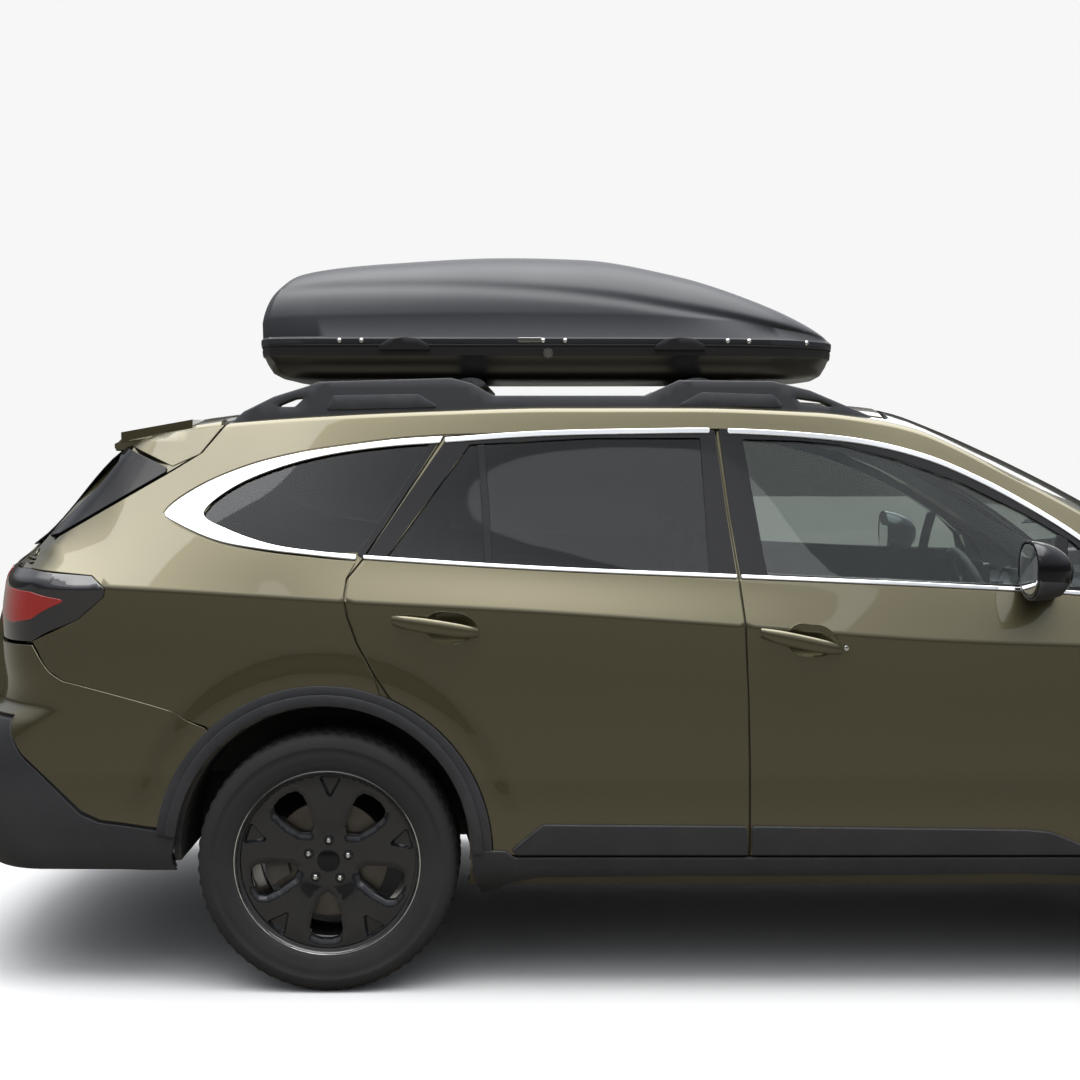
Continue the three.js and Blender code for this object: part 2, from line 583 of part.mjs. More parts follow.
const TAILGATE_DEPTH = 64;
const REAR_WINDOW = [[-560, 1462], [560, 1462], [596, 1320], [622, 1216], [-622, 1216], [-596, 1320]];
const rearWindow = (by) => throughEnd(grown(REAR_WINDOW, by), [-2600, -1780]);
function tailgate() {
  const blade = within(throughSide([[-1700, 1566], [-1924, 1526], [-1964, 1506], [-1958, 1490], [-1880, 1496],
    [-1700, 1530]], [-590, 590]), throughTop([[-1690, -590], [-1690, 590], [-1905, 590],
    ...smooth([[-1905, 590], [-1958, 300], [-1968, 0], [-1958, -300], [-1905, -590]], 10).slice(1, -1),
    [-1905, -590]], [1400, 1700]));
  return cut(join(within(skin(0, TAILGATE_DEPTH), tailgateRegion(0)), blade), rearWindow(0));
}

const fromRear = (deep, by) => within(skin(deep, deep + GLASS), rearWindow(by));

// ---------------------------------------------------------------- underbody
const LOAD_FLOOR_Z = [560, 588];
const FLOOR_CLEAR = 5; // floor to side wall
const WELL_INNER = { rear: 640, front: 452 }; // inner walls of the wheel wells, from the middle
const LINER = 12;
const WELL_FOOT_Z = 380;
const FIREWALL_X = [1092, 1116];
const RAIL_Y = [340, 420]; // the two beams that carry the engine and the axles

function floorPan() {
  const edge = WALL + FLOOR_CLEAR;
  const trim = throughTop(plan(400, edge, -2230, 1400), [0, 1400]);
  const sheet = throughSide([[FIREWALL_X[1], FLOOR_Z[0]], [-900, FLOOR_Z[0]], [-975, LOAD_FLOOR_Z[0]],
    [-2236, LOAD_FLOOR_Z[0]], [-2236, LOAD_FLOOR_Z[1]], [-945, LOAD_FLOOR_Z[1]], [-872, FLOOR_Z[1]],
    [FIREWALL_X[1], FLOOR_Z[1]]], EVERY_Y);
  const spareWell = box([-2140, -1640], [-330, 330], [400, LOAD_FLOOR_Z[0] + 1]);
  const rearPanel = box([-2236, -2210], [-640, 640], [400, 742]);
  const wells = [[REAR_ARCH, WELL_INNER.rear, 800], [FRONT_ARCH, WELL_INNER.front, 1100]].map(([at, inner, stop]) => {
    const shell = cut(drum(ARCH_R + LINER, [-stop, -inner + LINER], at), drum(ARCH_R, [-1100, -inner], at));
    const open = inner > 500 ? box([-3000, 0], [-inner - 1, -inner + LINER + 1], [0, LOAD_FLOOR_Z[0]]) : null;
    return within(open ? cut(shell, open) : shell, box([-3000, 3000], EVERY_Y, [WELL_FOOT_Z, 3000]));
  });
  const frontWell = within(wells[1], throughTop(plan(500, 45, 900, 2300), [0, 3000]));
  const bothWells = [wells[0], frontWell].flatMap((well) => [well, mirrored(well)]);
  const firewall = box(FIREWALL_X, [-690, 690], [FLOOR_Z[0], 1062]);
  const cowl = throughTop([[FIREWALL_X[0], -680], [1240, -560], [1288, -300], [1300, 0], [1288, 300], [1240, 560],
    [FIREWALL_X[0], 680]], [1050, 1066]);
  const rails = Object.values(SIDES).map((side) => {
    const y = RAIL_Y.map((v) => v * side).sort((a, b) => a - b);
    return join(box([FIREWALL_X[0], 2260], y, [430, 520]), box([-2236, -985], y, [470, LOAD_FLOOR_Z[0] + 1]));
  });
  const radiator = box([2100, 2150], [-440, 440], [360, 800]);
  const noseBeam = box([2236, 2284], [-520, 520], [430, 540]);
  const hollowWells = wheelHoles(ARCH_R, -WELL_INNER.front).slice(1);
  const rearHoles = wheelHoles(ARCH_R, -WELL_INNER.rear).slice(0, 1);
  const holes = [...hollowWells, ...rearHoles];
  const all = cut(join(within(join(sheet, spareWell), trim), firewall, cowl, rearPanel), ...holes, ...holes.map(mirrored));
  return join(all, ...bothWells, ...rails, radiator, noseBeam);
}

// ---------------------------------------------------------------- wheels, axles and steering
const KINGPIN_Z = 300;
const KINGPIN_INSET = 30; // ball joint inboard of the tyre's middle plane
const KINGPIN_LEAN = [-0.03, 0.26]; // how far it leans back and inwards for each unit of height
const STRUT_Z = [440, 770];
const STRUT_FOOT_Y = -642;
const HUB_FACE = 48; // the wheel bolts on this far outboard of the tyre's middle plane
const WHEEL_SIDES = 24;

// A turned piece round the Y axis, with a flat of its many sides facing down.
function turned(profile, sides) {
  const outwards = 1 / Math.cos(Math.PI / sides);
  const points = profile.map(([r, y]) => new THREE.Vector2(r * outwards, y));
  return toSolid(new THREE.LatheGeometry(points, sides, Math.PI / sides));
}

// Wheels are made round the origin with the outer face towards -Y, then moved to their hubs.
function tyre() {
  const [r, w] = [TYRE_R, TYRE_W / 2];
  const half = [[RIM_R - 22, 76], [RIM_R + 20, w - 4], [r - 40, w], [r, w - 32]];
  const profile = [...half.map(([a, b]) => [a, -b]), ...half.map(([a, b]) => [a, b]).reverse()];
  return turned([...profile, profile[0]], WHEEL_SIDES);
}

function rim() {
  const lip = RIM_R - 23;
  const barrel = turned([[lip - 14, -88], [lip, -88], [lip - 0.5, 76], [lip - 26, 70], [lip - 30, -64], [lip - 14, -88]],
    WHEEL_SIDES);
  const hub = drum(84, [-HUB_FACE - 36, -HUB_FACE], [0, 0], 12);
  const spokes = Array.from({ length: 5 }, (_, i) => {
    const a = ((88 - 72 * i) * Math.PI) / 180;
    const outline = [[60, -36], [lip - 22, -74], [lip - 8, -54], [150, 0], [lip - 8, 54], [lip - 22, 74], [60, 36]];
    const flat = throughSide(outline.map(([r, t]) =>
      [r * Math.cos(a) - t * Math.sin(a), r * Math.sin(a) + t * Math.cos(a)]), [-82, -HUB_FACE - 2]);
    return flat;
  });
  return join(barrel, hub, ...spokes);
}

const wheelAt = (solid, axleX, track) => moved(solid, axleX, -track / 2, TYRE_R);
for (const [end, axleX, track] of [["front", FRONT_AXLE_X, FRONT_TRACK], ["rear", REAR_AXLE_X, REAR_TRACK]]) {
  addBothSides(`tyre_${end}`, wheelAt(tyre(), axleX, track), "tyre");
  addBothSides(`rim_${end}`, wheelAt(rim(), axleX, track), "wheel");
}

const kingpinY = -FRONT_TRACK / 2 + KINGPIN_INSET;
const kingpinAt = (z) => [FRONT_AXLE_X + KINGPIN_LEAN[0] * (z - KINGPIN_Z), kingpinY + KINGPIN_LEAN[1] * (z - KINGPIN_Z),
  z];
function knuckle() {
  const hubY = -FRONT_TRACK / 2 - HUB_FACE + JOINT;
  const stub = drum(34, [hubY, kingpinY + 40], [FRONT_AXLE_X, TYRE_R], 12);
  const upright = bar(kingpinAt(288), kingpinAt(440), 28, 8);
  const strut = bar([FRONT_AXLE_X, STRUT_FOOT_Y, STRUT_Z[0]], kingpinAt(STRUT_Z[1]), 22, 8);
  const clamp = box([FRONT_AXLE_X - 24, FRONT_AXLE_X + 20], [kingpinY + 10, STRUT_FOOT_Y + 18], [424, 474]);
  const caliper = within(cut(drum(168, [hubY + 22, hubY + 92], [FRONT_AXLE_X, TYRE_R], 16),
    drum(112, [-1100, 0], [FRONT_AXLE_X, TYRE_R], 16)),
    box([FRONT_AXLE_X - 200, FRONT_AXLE_X - 70], EVERY_Y, [TYRE_R - 60, TYRE_R + 90]));
  const bridge = box([FRONT_AXLE_X - 124, FRONT_AXLE_X - 8], [hubY + 60, kingpinY + 22], [TYRE_R - 22, TYRE_R + 26]);
  return join(stub, upright, clamp, strut, caliper, bridge);
}
addBothSides("knuckle", knuckle(), "metal");

function frontAxle() {
  const arm = (x) => bar([x, -300, 262], [FRONT_AXLE_X, kingpinY + 2, 262], 15);
  const half = join(arm(1300), arm(1560), box([1270, 1600], [-350, 1], [250, 290]),
    box([1290, 1330], [-390, -345], [250, 428]), box([1540, 1580], [-390, -345], [250, 428]));
  return join(half, mirrored(half));
}

function rearAxle() {
  const hubY = -REAR_TRACK / 2 - HUB_FACE + JOINT;
  const x = REAR_AXLE_X;
  const half = join(drum(34, [hubY, -640], [x, TYRE_R], 12), box([x - 60, x + 60], [-690, -625], [270, 440]),
    bar([x - 90, -300, 300], [x - 40, -650, 290], 20), bar([x + 110, -300, 300], [x + 40, -650, 290], 20),
    bar([x - 60, -300, 390], [x - 30, -650, 420], 16), box([x - 150, x + 150], [-330, 1], [280, 410]),
    bar([x - 40, -640, 400], [x - 70, -520, 524], 28),
    box([x - 50, x + 50], [-420, -325], [330, 466]));
  return join(half, mirrored(half));
}
add("front_axle", frontAxle(), "metal");
add("rear_axle", rearAxle(), "metal");
add("engine", box([1380, 1900], [-300, 300], [440, 880]), "metal");

// ---------------------------------------------------------------- inside the cabin
const SEAT_Y = 370;
const SEAT_W = 500;
function seat(x, [y0, y1], cushion, recline) {
  const base = throughSide([[x - 250, 360], [x + 240, 360], [x + 262, 560 + cushion], [x + 230, 600 + cushion],
    [x - 250, 570 + cushion]], [y0, y1]);
  const back = throughSide([[x - 290, 520 + cushion], [x - 190, 560 + cushion], [x - 190 - recline, 1180],
    [x - 240 - recline, 1200], [x - 330 - recline, 1180], [x - 350, 560 + cushion]], [y0 + 15, y1 - 15]);
  return join(base, back);
}

function headrest(x, y) {
  return join(box([x - 62, x + 52], [y - 130, y + 130], [1225, 1385]), box([x - 20, x + 10], [y - 60, y + 60],
    [1150, 1230]));
}

const FRONT_SEAT_X = 150;
addBothSides("front_seat", join(seat(FRONT_SEAT_X, [-SEAT_Y - SEAT_W / 2, -SEAT_Y + SEAT_W / 2], 20, 120),
  headrest(FRONT_SEAT_X - 390, -SEAT_Y)), "cloth");
const BENCH = [-620, 620];
const bench = join(
  throughSide([[-862, 360], [-460, 360], [-438, 620], [-472, 658], [-935, 640], [-935, 593]], BENCH),
  throughSide([[-1075, 593], [-900, 593], [-880, 650], [-1010, 1170], [-1060, 1195], [-1140, 1175]], BENCH));
add("rear_seat", join(bench, ...[-400, 400].map((y) => headrest(-1070, y))), "cloth");

function dashboard() {
  const across = throughSide([[FIREWALL_X[0] - JOINT, 640], [800, 660], [745, 800], [730, 960], [790, 1012],
    [960, 1040], [FIREWALL_X[0] - JOINT, 1046]], [-680, 680]);
  const hood = throughSide([[722, 950], [705, 1030], [760, 1072], [920, 1050], [920, 950]],
    [-SEAT_Y - 190, -SEAT_Y + 190]);
  const screen = box([706, 760], [-110, 110], [800, 1060]);
  const console = box([-120, 790], [-105, 105], [FLOOR_Z[1] + JOINT, 640]);
  return join(across, hood, screen, console, box([760, 820], [-105, 105], [630, 700]));
}
add("dashboard", dashboard(), "dark");

const COLUMN_TILT = 24; // degrees, from level
const WHEEL_AT = [610, -SEAT_Y, 1010];
function steeringWheel() {
  const ring = toSolid(new THREE.TorusGeometry(182, 15, 6, 20));
  const boss = toSolid(new THREE.CylinderGeometry(62, 70, 46, 12).rotateX(Math.PI / 2));
  const arms = [box([-172, 172], [-16, 16], [-9, 9]), box([-16, 16], [-172, 0], [-9, 9])];
  const shaft = toSolid(new THREE.CylinderGeometry(20, 20, 64, 8).rotateX(Math.PI / 2).translate(0, 0, -50));
  const flat = join(ring, boss, shaft, ...arms);
  return flat.rotate([90, 0, 0]).rotate([0, 0, -90]).rotate([0, COLUMN_TILT, 0]).translate(WHEEL_AT);
}
add("steering_wheel", steeringWheel(), "dark");

// ---------------------------------------------------------------- door mirrors
function mirror() {
  const housing = new THREE.SphereGeometry(1, 12, 8).scale(66, 96, 84).rotateZ(-0.16)
    .translate(648, -952, 1160);
  const flatBack = box([596, 760], [-1120, -860], [1060, 1260]);
  const foot = throughSide([[600, 1076], [700, 1070], [690, 1104], [612, 1108]], [-930, -840]);
  return cut(join(within(toSolid(housing), flatBack), foot), body(-1));
}
addBothSides("mirror", mirror(), "black");

// ---------------------------------------------------------------- roof rails, cross bars and roof box
const RAIL_MID_Y = 592;
const RAIL_W = 46;
const CROSSBAR_X = [-905, -255];
const BAR_Z = [1652, 1687];
function roofRack() {
  const outline = [[-1589, 1500], [-1589, 1556], [-1549, 1591], [-1464, 1633], [-1368, 1663], [-1337, 1675],
    [-959, 1686], [-899, 1670], [-839, 1634], [-406, 1634], [-310, 1680], [-45, 1677], [62, 1651], [232, 1579],
    [257, 1556], [257, 1500]];
  const windows = [[[-1474, 1600], [-1404, 1632], [-1362, 1640], [-1404, 1602]],
    [[4, 1636], [34, 1610], [160, 1597], [100, 1624]]];
  const rail = cut(throughSide(outline, [-RAIL_MID_Y - RAIL_W / 2, -RAIL_MID_Y + RAIL_W / 2]), body(-JOINT),
    ...windows.map((hole) => throughSide(hole, RIGHT)));
  const bars = CROSSBAR_X.map((x) => box([x - 40, x + 40], [-RAIL_MID_Y, RAIL_MID_Y], BAR_Z));
  return join(rail, mirrored(rail), ...bars);
}
add("roof_rack", roofRack(), "cladding");

// Plan of the roof box at a share of its half width: blunt behind, drawn to a round nose in front.
function boxPlan(by) {
  const [x0, x1] = ROOF_BOX_X;
  const h = ROOF_BOX_HALF;
  const half = smooth([[x0 + 40, h - 22], [x0 + 160, h], [-900, h], [-300, h - 12], [0, h - 70], [x1 - 70, h - 190],
    [x1 - 12, h - 300], [x1, 0]], 9);
  const rear = smooth([[x0, 0], [x0 + 4, h - 120], [x0 + 40, h - 22]], 4).slice(0, -1);
  const left = [...rear, ...half];
  const all = [...left, ...left.slice(1, -1).map(([x, y]) => [x, -y]).reverse()];
  return grown(all, by);
}

const boxTop = curve([-1552, 2010], [-1500, 2034], [-1233, 2058], [-834, 2074], [-515, 2068], [-195, 2024],
  [61, 1944], [180, 1880], [215, 1838]);
const BOX_SHARES = [1, 0.98, 0.9, 0.7, 0.35, 0];
// The lid's shell: rings that climb from the lip and close in over the top.
function lidShell(by) {
  const made = new Builder();
  const rim = boxPlan(-by);
  const middle = -720;
  const rise = (x, share) => {
    const top = boxTop(x) - by;
    return ROOF_BOX_LIP_Z + Math.max(6, top - ROOF_BOX_LIP_Z) * Math.pow(1 - Math.pow(share, 3.4), 0.42);
  };
  const rings = BOX_SHARES.slice(0, -1).map((share) => rim.map(([x, y]) => {
    const px = middle + (x - middle) * (share < 1 ? 0.2 + 0.8 * Math.pow(share, 0.5) : 1);
    return [px, y * share, share === 1 ? ROOF_BOX_LIP_Z + JOINT : rise(px, share)];
  }));
  const count = rim.length;
  for (let k = 0; k < rings.length - 1; k++) made.strip(rings[k], rings[k + 1], true);
  const last = rings[rings.length - 1];
  const crown = [middle, 0, boxTop(middle) - by];
  const foot = [middle, 0, ROOF_BOX_LIP_Z + JOINT];
  for (let i = 0; i < count; i++) {
    made.triangle(last[i], last[(i + 1) % count], crown);
    made.triangle(rings[0][(i + 1) % count], rings[0][i], foot);
  }
  return made.solid();
}

function roofBoxLid() {
  const lip = throughTop(boxPlan(0), [ROOF_BOX_LIP_Z + JOINT, ROOF_BOX_LIP_Z + 26]);
  const hollow = throughTop(boxPlan(-ROOF_BOX_WALL - 4), [ROOF_BOX_LIP_Z - 1, ROOF_BOX_LIP_Z + 27]);
  return cut(join(lip, lidShell(4)), hollow, lidShell(4 + ROOF_BOX_WALL));
}

const BOX_FOOT_Z = BAR_Z[1] + JOINT;
function roofBoxBase() {
  const layers = (by) => [[-95 - by, BOX_FOOT_Z + by], [-34 - by, 1708 + by], [-12 - by, 1750], [-by, ROOF_BOX_LIP_Z]];
  const tub = (by) => {
    const made = new Builder();
    const rings = layers(by).map(([inset, z], i) => boxPlan(inset).map(([x, y]) => [x, y, i === 3 ? z + by / 4 : z]));
    for (let k = 0; k < 3; k++) made.strip(rings[k], rings[k + 1], true);
    const count = rings[0].length;
    const [low, high] = [[-720, 0, rings[0][0][2]], [-720, 0, rings[3][0][2]]];
    for (let i = 0; i < count; i++) {
      made.triangle(rings[0][(i + 1) % count], rings[0][i], low);
      made.triangle(rings[3][i], rings[3][(i + 1) % count], high);
    }
    return made.solid();
  };
  return cut(tub(0), tub(ROOF_BOX_WALL));
}
add("roof_box_base", roofBoxBase(), "black");
add("roof_box_lid", roofBoxLid(), "cladding");

addBothSides("side_frame", sideFrame(), "paint");
for (const name of Object.keys(DOORS)) {
  addBothSides(name, door(name), "paint");
  addBothSides(`${name}_glass`, pane(WINDOWS[name]), "glass");
}
addBothSides("quarter_glass", pane(WINDOWS.quarter), "glass");
add("floor_pan", floorPan(), "dark");
addBothSides("fender", fender(), "paint");
addBothSides("tail_lamp", within(skin(0, LAMP_DEPTH), tailLampRegion(0)), "lamp");
addBothSides("headlamp", within(skin(0, LAMP_DEPTH), cut(headlampRegion(0),
  throughTop(bonnetPlan(SHUT_GAP), [700, 1400]))), "clear");
add("roof_panel", within(skin(0, PANEL), throughTop(roofPlan, [1400, 1800])), "paint");
add("windscreen", within(skin(GLASS_SET_IN, GLASS_SET_IN + GLASS), throughTop(screenPlan(0), [1050, 1700])), "glass");
add("bonnet", within(skin(0, PANEL), throughTop(bonnetPlan(0), [700, 1400])), "paint");
add("front_bumper", frontBumper(), "cladding");
add("rear_bumper", rearBumper(), "cladding");
add("tailgate", tailgate(), "paint");
add("tailgate_glass", fromRear(GLASS_SET_IN, -GLASS_GAP), "glass");

export { body, sideY };
export default group;
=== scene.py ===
# %% [markdown]
# # An estate-bodied SUV with a roof box
# The car is a hollow steel shell: big pressed panels with narrow shut lines between them, black plastic where
# stones hit it, dark glass, and a luggage box on two bars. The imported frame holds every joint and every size.
# This script gives it skins smooth enough to carry reflections, and the trim, wheels, cabin and finishes.

# %% Load the frame
import math
import bpy
import numpy as np
from mathutils import Matrix, Vector
from mathutils.geometry import delaunay_2d_cdt


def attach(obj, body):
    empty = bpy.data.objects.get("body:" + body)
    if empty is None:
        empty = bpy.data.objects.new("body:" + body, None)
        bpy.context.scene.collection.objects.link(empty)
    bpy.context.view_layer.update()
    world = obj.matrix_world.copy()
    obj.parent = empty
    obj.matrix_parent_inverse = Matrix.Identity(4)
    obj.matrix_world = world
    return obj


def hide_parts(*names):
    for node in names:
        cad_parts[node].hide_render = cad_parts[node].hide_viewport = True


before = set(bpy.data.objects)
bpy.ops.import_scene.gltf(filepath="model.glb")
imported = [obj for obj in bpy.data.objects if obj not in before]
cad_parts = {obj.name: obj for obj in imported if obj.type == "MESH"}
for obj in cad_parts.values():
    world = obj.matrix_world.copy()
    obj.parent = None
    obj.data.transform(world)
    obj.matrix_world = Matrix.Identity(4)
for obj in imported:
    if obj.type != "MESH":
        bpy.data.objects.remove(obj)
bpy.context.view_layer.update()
MM = 0.001

# %% [markdown]
# ## Camera
# It stands about five metres from the car's side, a little behind the middle and at eye height, so the roof and
# the top of the box are seen almost edge on. A level view with a slight tilt keeps the pillars upright.

# %% Camera
camera_data = bpy.data.cameras.new("camera")
camera_data.lens = 56.2
camera_data.sensor_width = 36.0
camera_data.clip_end = 200.0
camera = bpy.data.objects.new("camera", camera_data)
bpy.context.scene.collection.objects.link(camera)
camera.location = (-0.706, -5.425, 1.506)
camera.rotation_euler = (math.radians(90 - 3.38), 0, 0)
bpy.context.scene.camera = camera
print("camera at", tuple(round(v, 2) for v in camera.location))

# %% [markdown]
# ## Effects that several finishes share
# Real surfaces are never one flat value. Paint has a faint ripple called orange peel, moulded plastic has a grain,
# everything outdoors has a film of dust that is thicker low down and on upward faces. Each effect is one node
# group, so that every material can place it with its own strength.

# %% Node group helper
def node_group(name, inputs, outputs):
    """An empty shader group with float inputs (name, default) and outputs (name, socket type)."""
    group = bpy.data.node_groups.new(name, "ShaderNodeTree")
    for label, default in inputs:
        socket = group.interface.new_socket(label, in_out="INPUT", socket_type="NodeSocketFloat")
        socket.default_value = default
    for label, kind in outputs:
        group.interface.new_socket(label, in_out="OUTPUT", socket_type=kind)
    return group, group.nodes.new("NodeGroupInput"), group.nodes.new("NodeGroupOutput")


def add_node(tree, kind, settings=None, **links):
    """A node with its settings; a link is a socket or a plain value for the input of that name."""
    node = tree.nodes.new(kind)
    for key, value in (settings or {}).items():
        setattr(node, key, value)
    for key, value in links.items():
        place = int(key[1:]) if key[0] == "i" and key[1:].isdigit() else key.replace("_", " ")
        socket = node.inputs[place]
        if isinstance(value, bpy.types.NodeSocket):
            tree.links.new(value, socket)
        else:
            socket.default_value = value
    return node


# %% Dust that settles low down, in patches
def make_dust_group():
    group, given, out = node_group("road_dust", [("Amount", 0.3), ("Top", 0.9)], [("Mask", "NodeSocketFloat")])
    coords = add_node(group, "ShaderNodeTexCoord")
    split = add_node(group, "ShaderNodeSeparateXYZ", Vector=coords.outputs["Object"])
    low = add_node(group, "ShaderNodeMapRange", {"interpolation_type": "SMOOTHSTEP"}, Value=split.outputs["Z"],
                   From_Min=given.outputs["Top"], From_Max=0.15, To_Min=0.12, To_Max=1.0)
    noise = add_node(group, "ShaderNodeTexNoise", Vector=coords.outputs["Object"], Scale=5.0, Detail=6.0,
                     Roughness=0.65)
    patchy = add_node(group, "ShaderNodeMapRange", Value=noise.outputs["Fac"], From_Min=0.38, From_Max=0.72)
    both = add_node(group, "ShaderNodeMath", {"operation": "MULTIPLY"}, i0=low.outputs["Result"],
                    i1=patchy.outputs["Result"])
    scaled = add_node(group, "ShaderNodeMath", {"operation": "MULTIPLY", "use_clamp": True}, i0=both.outputs[0],
                      i1=given.outputs["Amount"])
    group.links.new(scaled.outputs[0], out.inputs["Mask"])
    return group


# %% Moulded grain and orange peel as bump heights
def make_grain_group():
    group, given, out = node_group("moulded_grain", [("Scale", 900.0)], [("Height", "NodeSocketFloat")])
    coords = add_node(group, "ShaderNodeTexCoord")
    cells = add_node(group, "ShaderNodeTexVoronoi", {"feature": "SMOOTH_F1"}, Vector=coords.outputs["Object"],
                     Scale=given.outputs["Scale"])
    noise = add_node(group, "ShaderNodeTexNoise", Vector=coords.outputs["Object"], Scale=given.outputs["Scale"],
                     Detail=2.0)
    both = add_node(group, "ShaderNodeMath", {"operation": "ADD"}, i0=cells.outputs["Distance"],
                    i1=noise.outputs["Fac"])
    group.links.new(both.outputs[0], out.inputs["Height"])
    return group


def make_ripple_group():
    group, given, out = node_group("paint_ripple", [("Scale", 60.0)], [("Height", "NodeSocketFloat")])
    coords = add_node(group, "ShaderNodeTexCoord")
    noise = add_node(group, "ShaderNodeTexNoise", Vector=coords.outputs["Object"], Scale=given.outputs["Scale"],
                     Detail=1.0)
    group.links.new(noise.outputs["Fac"], out.inputs["Height"])
    return group


# %% Wear that shows on edges
def make_wear_group():
    group, given, out = node_group("edge_wear", [("Width", 0.5)], [("Mask", "NodeSocketFloat")])
    geometry = add_node(group, "ShaderNodeNewGeometry")
    edge = add_node(group, "ShaderNodeMapRange", Value=geometry.outputs["Pointiness"], From_Min=0.52, From_Max=0.62)
    coords = add_node(group, "ShaderNodeTexCoord")
    noise = add_node(group, "ShaderNodeTexNoise", Vector=coords.outputs["Object"], Scale=40.0, Detail=4.0)
    spots = add_node(group, "ShaderNodeMapRange", Value=noise.outputs["Fac"], From_Min=0.45, From_Max=0.6)
    both = add_node(group, "ShaderNodeMath", {"operation": "MULTIPLY"}, i0=edge.outputs["Result"],
                    i1=spots.outputs["Result"])
    scaled = add_node(group, "ShaderNodeMath", {"operation": "MULTIPLY", "use_clamp": True}, i0=both.outputs[0],
                      i1=given.outputs["Width"])
    group.links.new(scaled.outputs[0], out.inputs["Mask"])
    return group


# %% Woven cloth
def make_weave_group():
    group, given, out = node_group("woven_cloth", [("Scale", 900.0)], [("Height", "NodeSocketFloat")])
    coords = add_node(group, "ShaderNodeTexCoord")
    heights = []
    for direction in ("X", "Y"):
        wave = add_node(group, "ShaderNodeTexWave", {"wave_type": "BANDS", "bands_direction": direction},
                        Vector=coords.outputs["Object"], Scale=given.outputs["Scale"], Distortion=1.5)
        heights.append(wave.outputs["Fac"])
    both = add_node(group, "ShaderNodeMath", {"operation": "MAXIMUM"}, i0=heights[0], i1=heights[1])
    group.links.new(both.outputs[0], out.inputs["Height"])
    return group


GROUPS = {"dust": make_dust_group(), "grain": make_grain_group(), "ripple": make_ripple_group(),
          "wear": make_wear_group(), "weave": make_weave_group()}
print("effects:", ", ".join(GROUPS))

# %% [markdown]
# ## Finishes
# One function lays every finish out the same way: a base colour that varies a little and picks up dust, a
# roughness that the dust dulls, and one bump height. What makes paint paint or rubber rubber is the shader's own
# numbers, so those are set straight on the Principled shader.

# %% One finish
DUST_COLOUR = (0.23, 0.21, 0.18, 1)


def finish(name, colour, roughness, second=None, patch_scale=3.0, dust=0.0, dust_top=0.9, bump=None, bump_scale=0.0,
           bump_strength=0.1, bump_depth=0.0004, wear=0.0, wear_colour=(0.3, 0.3, 0.3, 1), **shader_values):
    material = bpy.data.materials.new(name)
    material.use_nodes = True
    tree = material.node_tree
    shader = tree.nodes["Principled BSDF"]
    coords = add_node(tree, "ShaderNodeTexCoord")
    noise = add_node(tree, "ShaderNodeTexNoise", Vector=coords.outputs["Object"], Scale=patch_scale, Detail=4.0)
    first = tuple(colour) + (1,)
    other = tuple(second or [c * 0.88 for c in colour]) + (1,)
    mixed = add_node(tree, "ShaderNodeMix", {"data_type": "RGBA"}, i0=noise.outputs["Fac"], i6=first, i7=other)
    base = mixed.outputs[2]
    rough = add_node(tree, "ShaderNodeMapRange", Value=noise.outputs["Fac"], From_Min=0.3, From_Max=0.7,
                     To_Min=roughness * 0.92, To_Max=min(1, roughness * 1.1)).outputs["Result"]
    if wear:
        mask = add_node(tree, "ShaderNodeGroup", {"node_tree": GROUPS["wear"]}, Width=wear).outputs["Mask"]
        base = add_node(tree, "ShaderNodeMix", {"data_type": "RGBA"}, i0=mask, i6=base, i7=wear_colour).outputs[2]
    if dust:
        mask = add_node(tree, "ShaderNodeGroup", {"node_tree": GROUPS["dust"]}, Amount=dust, Top=dust_top)
        mask = mask.outputs["Mask"]
        base = add_node(tree, "ShaderNodeMix", {"data_type": "RGBA"}, i0=mask, i6=base, i7=DUST_COLOUR).outputs[2]
        rough = add_node(tree, "ShaderNodeMix", {"data_type": "FLOAT"}, i0=mask, i2=rough, i3=0.85).outputs[0]
    tree.links.new(base, shader.inputs["Base Color"])
    tree.links.new(rough, shader.inputs["Roughness"])
    if bump:
        height = add_node(tree, "ShaderNodeGroup", {"node_tree": GROUPS[bump]}, Scale=bump_scale).outputs["Height"]
        dent = add_node(tree, "ShaderNodeBump", Height=height, Strength=bump_strength, Distance=bump_depth)
        tree.links.new(dent.outputs["Normal"], shader.inputs["Normal"])
    for key, value in shader_values.items():
        shader.inputs[key.replace("_", " ")].default_value = value
    return material


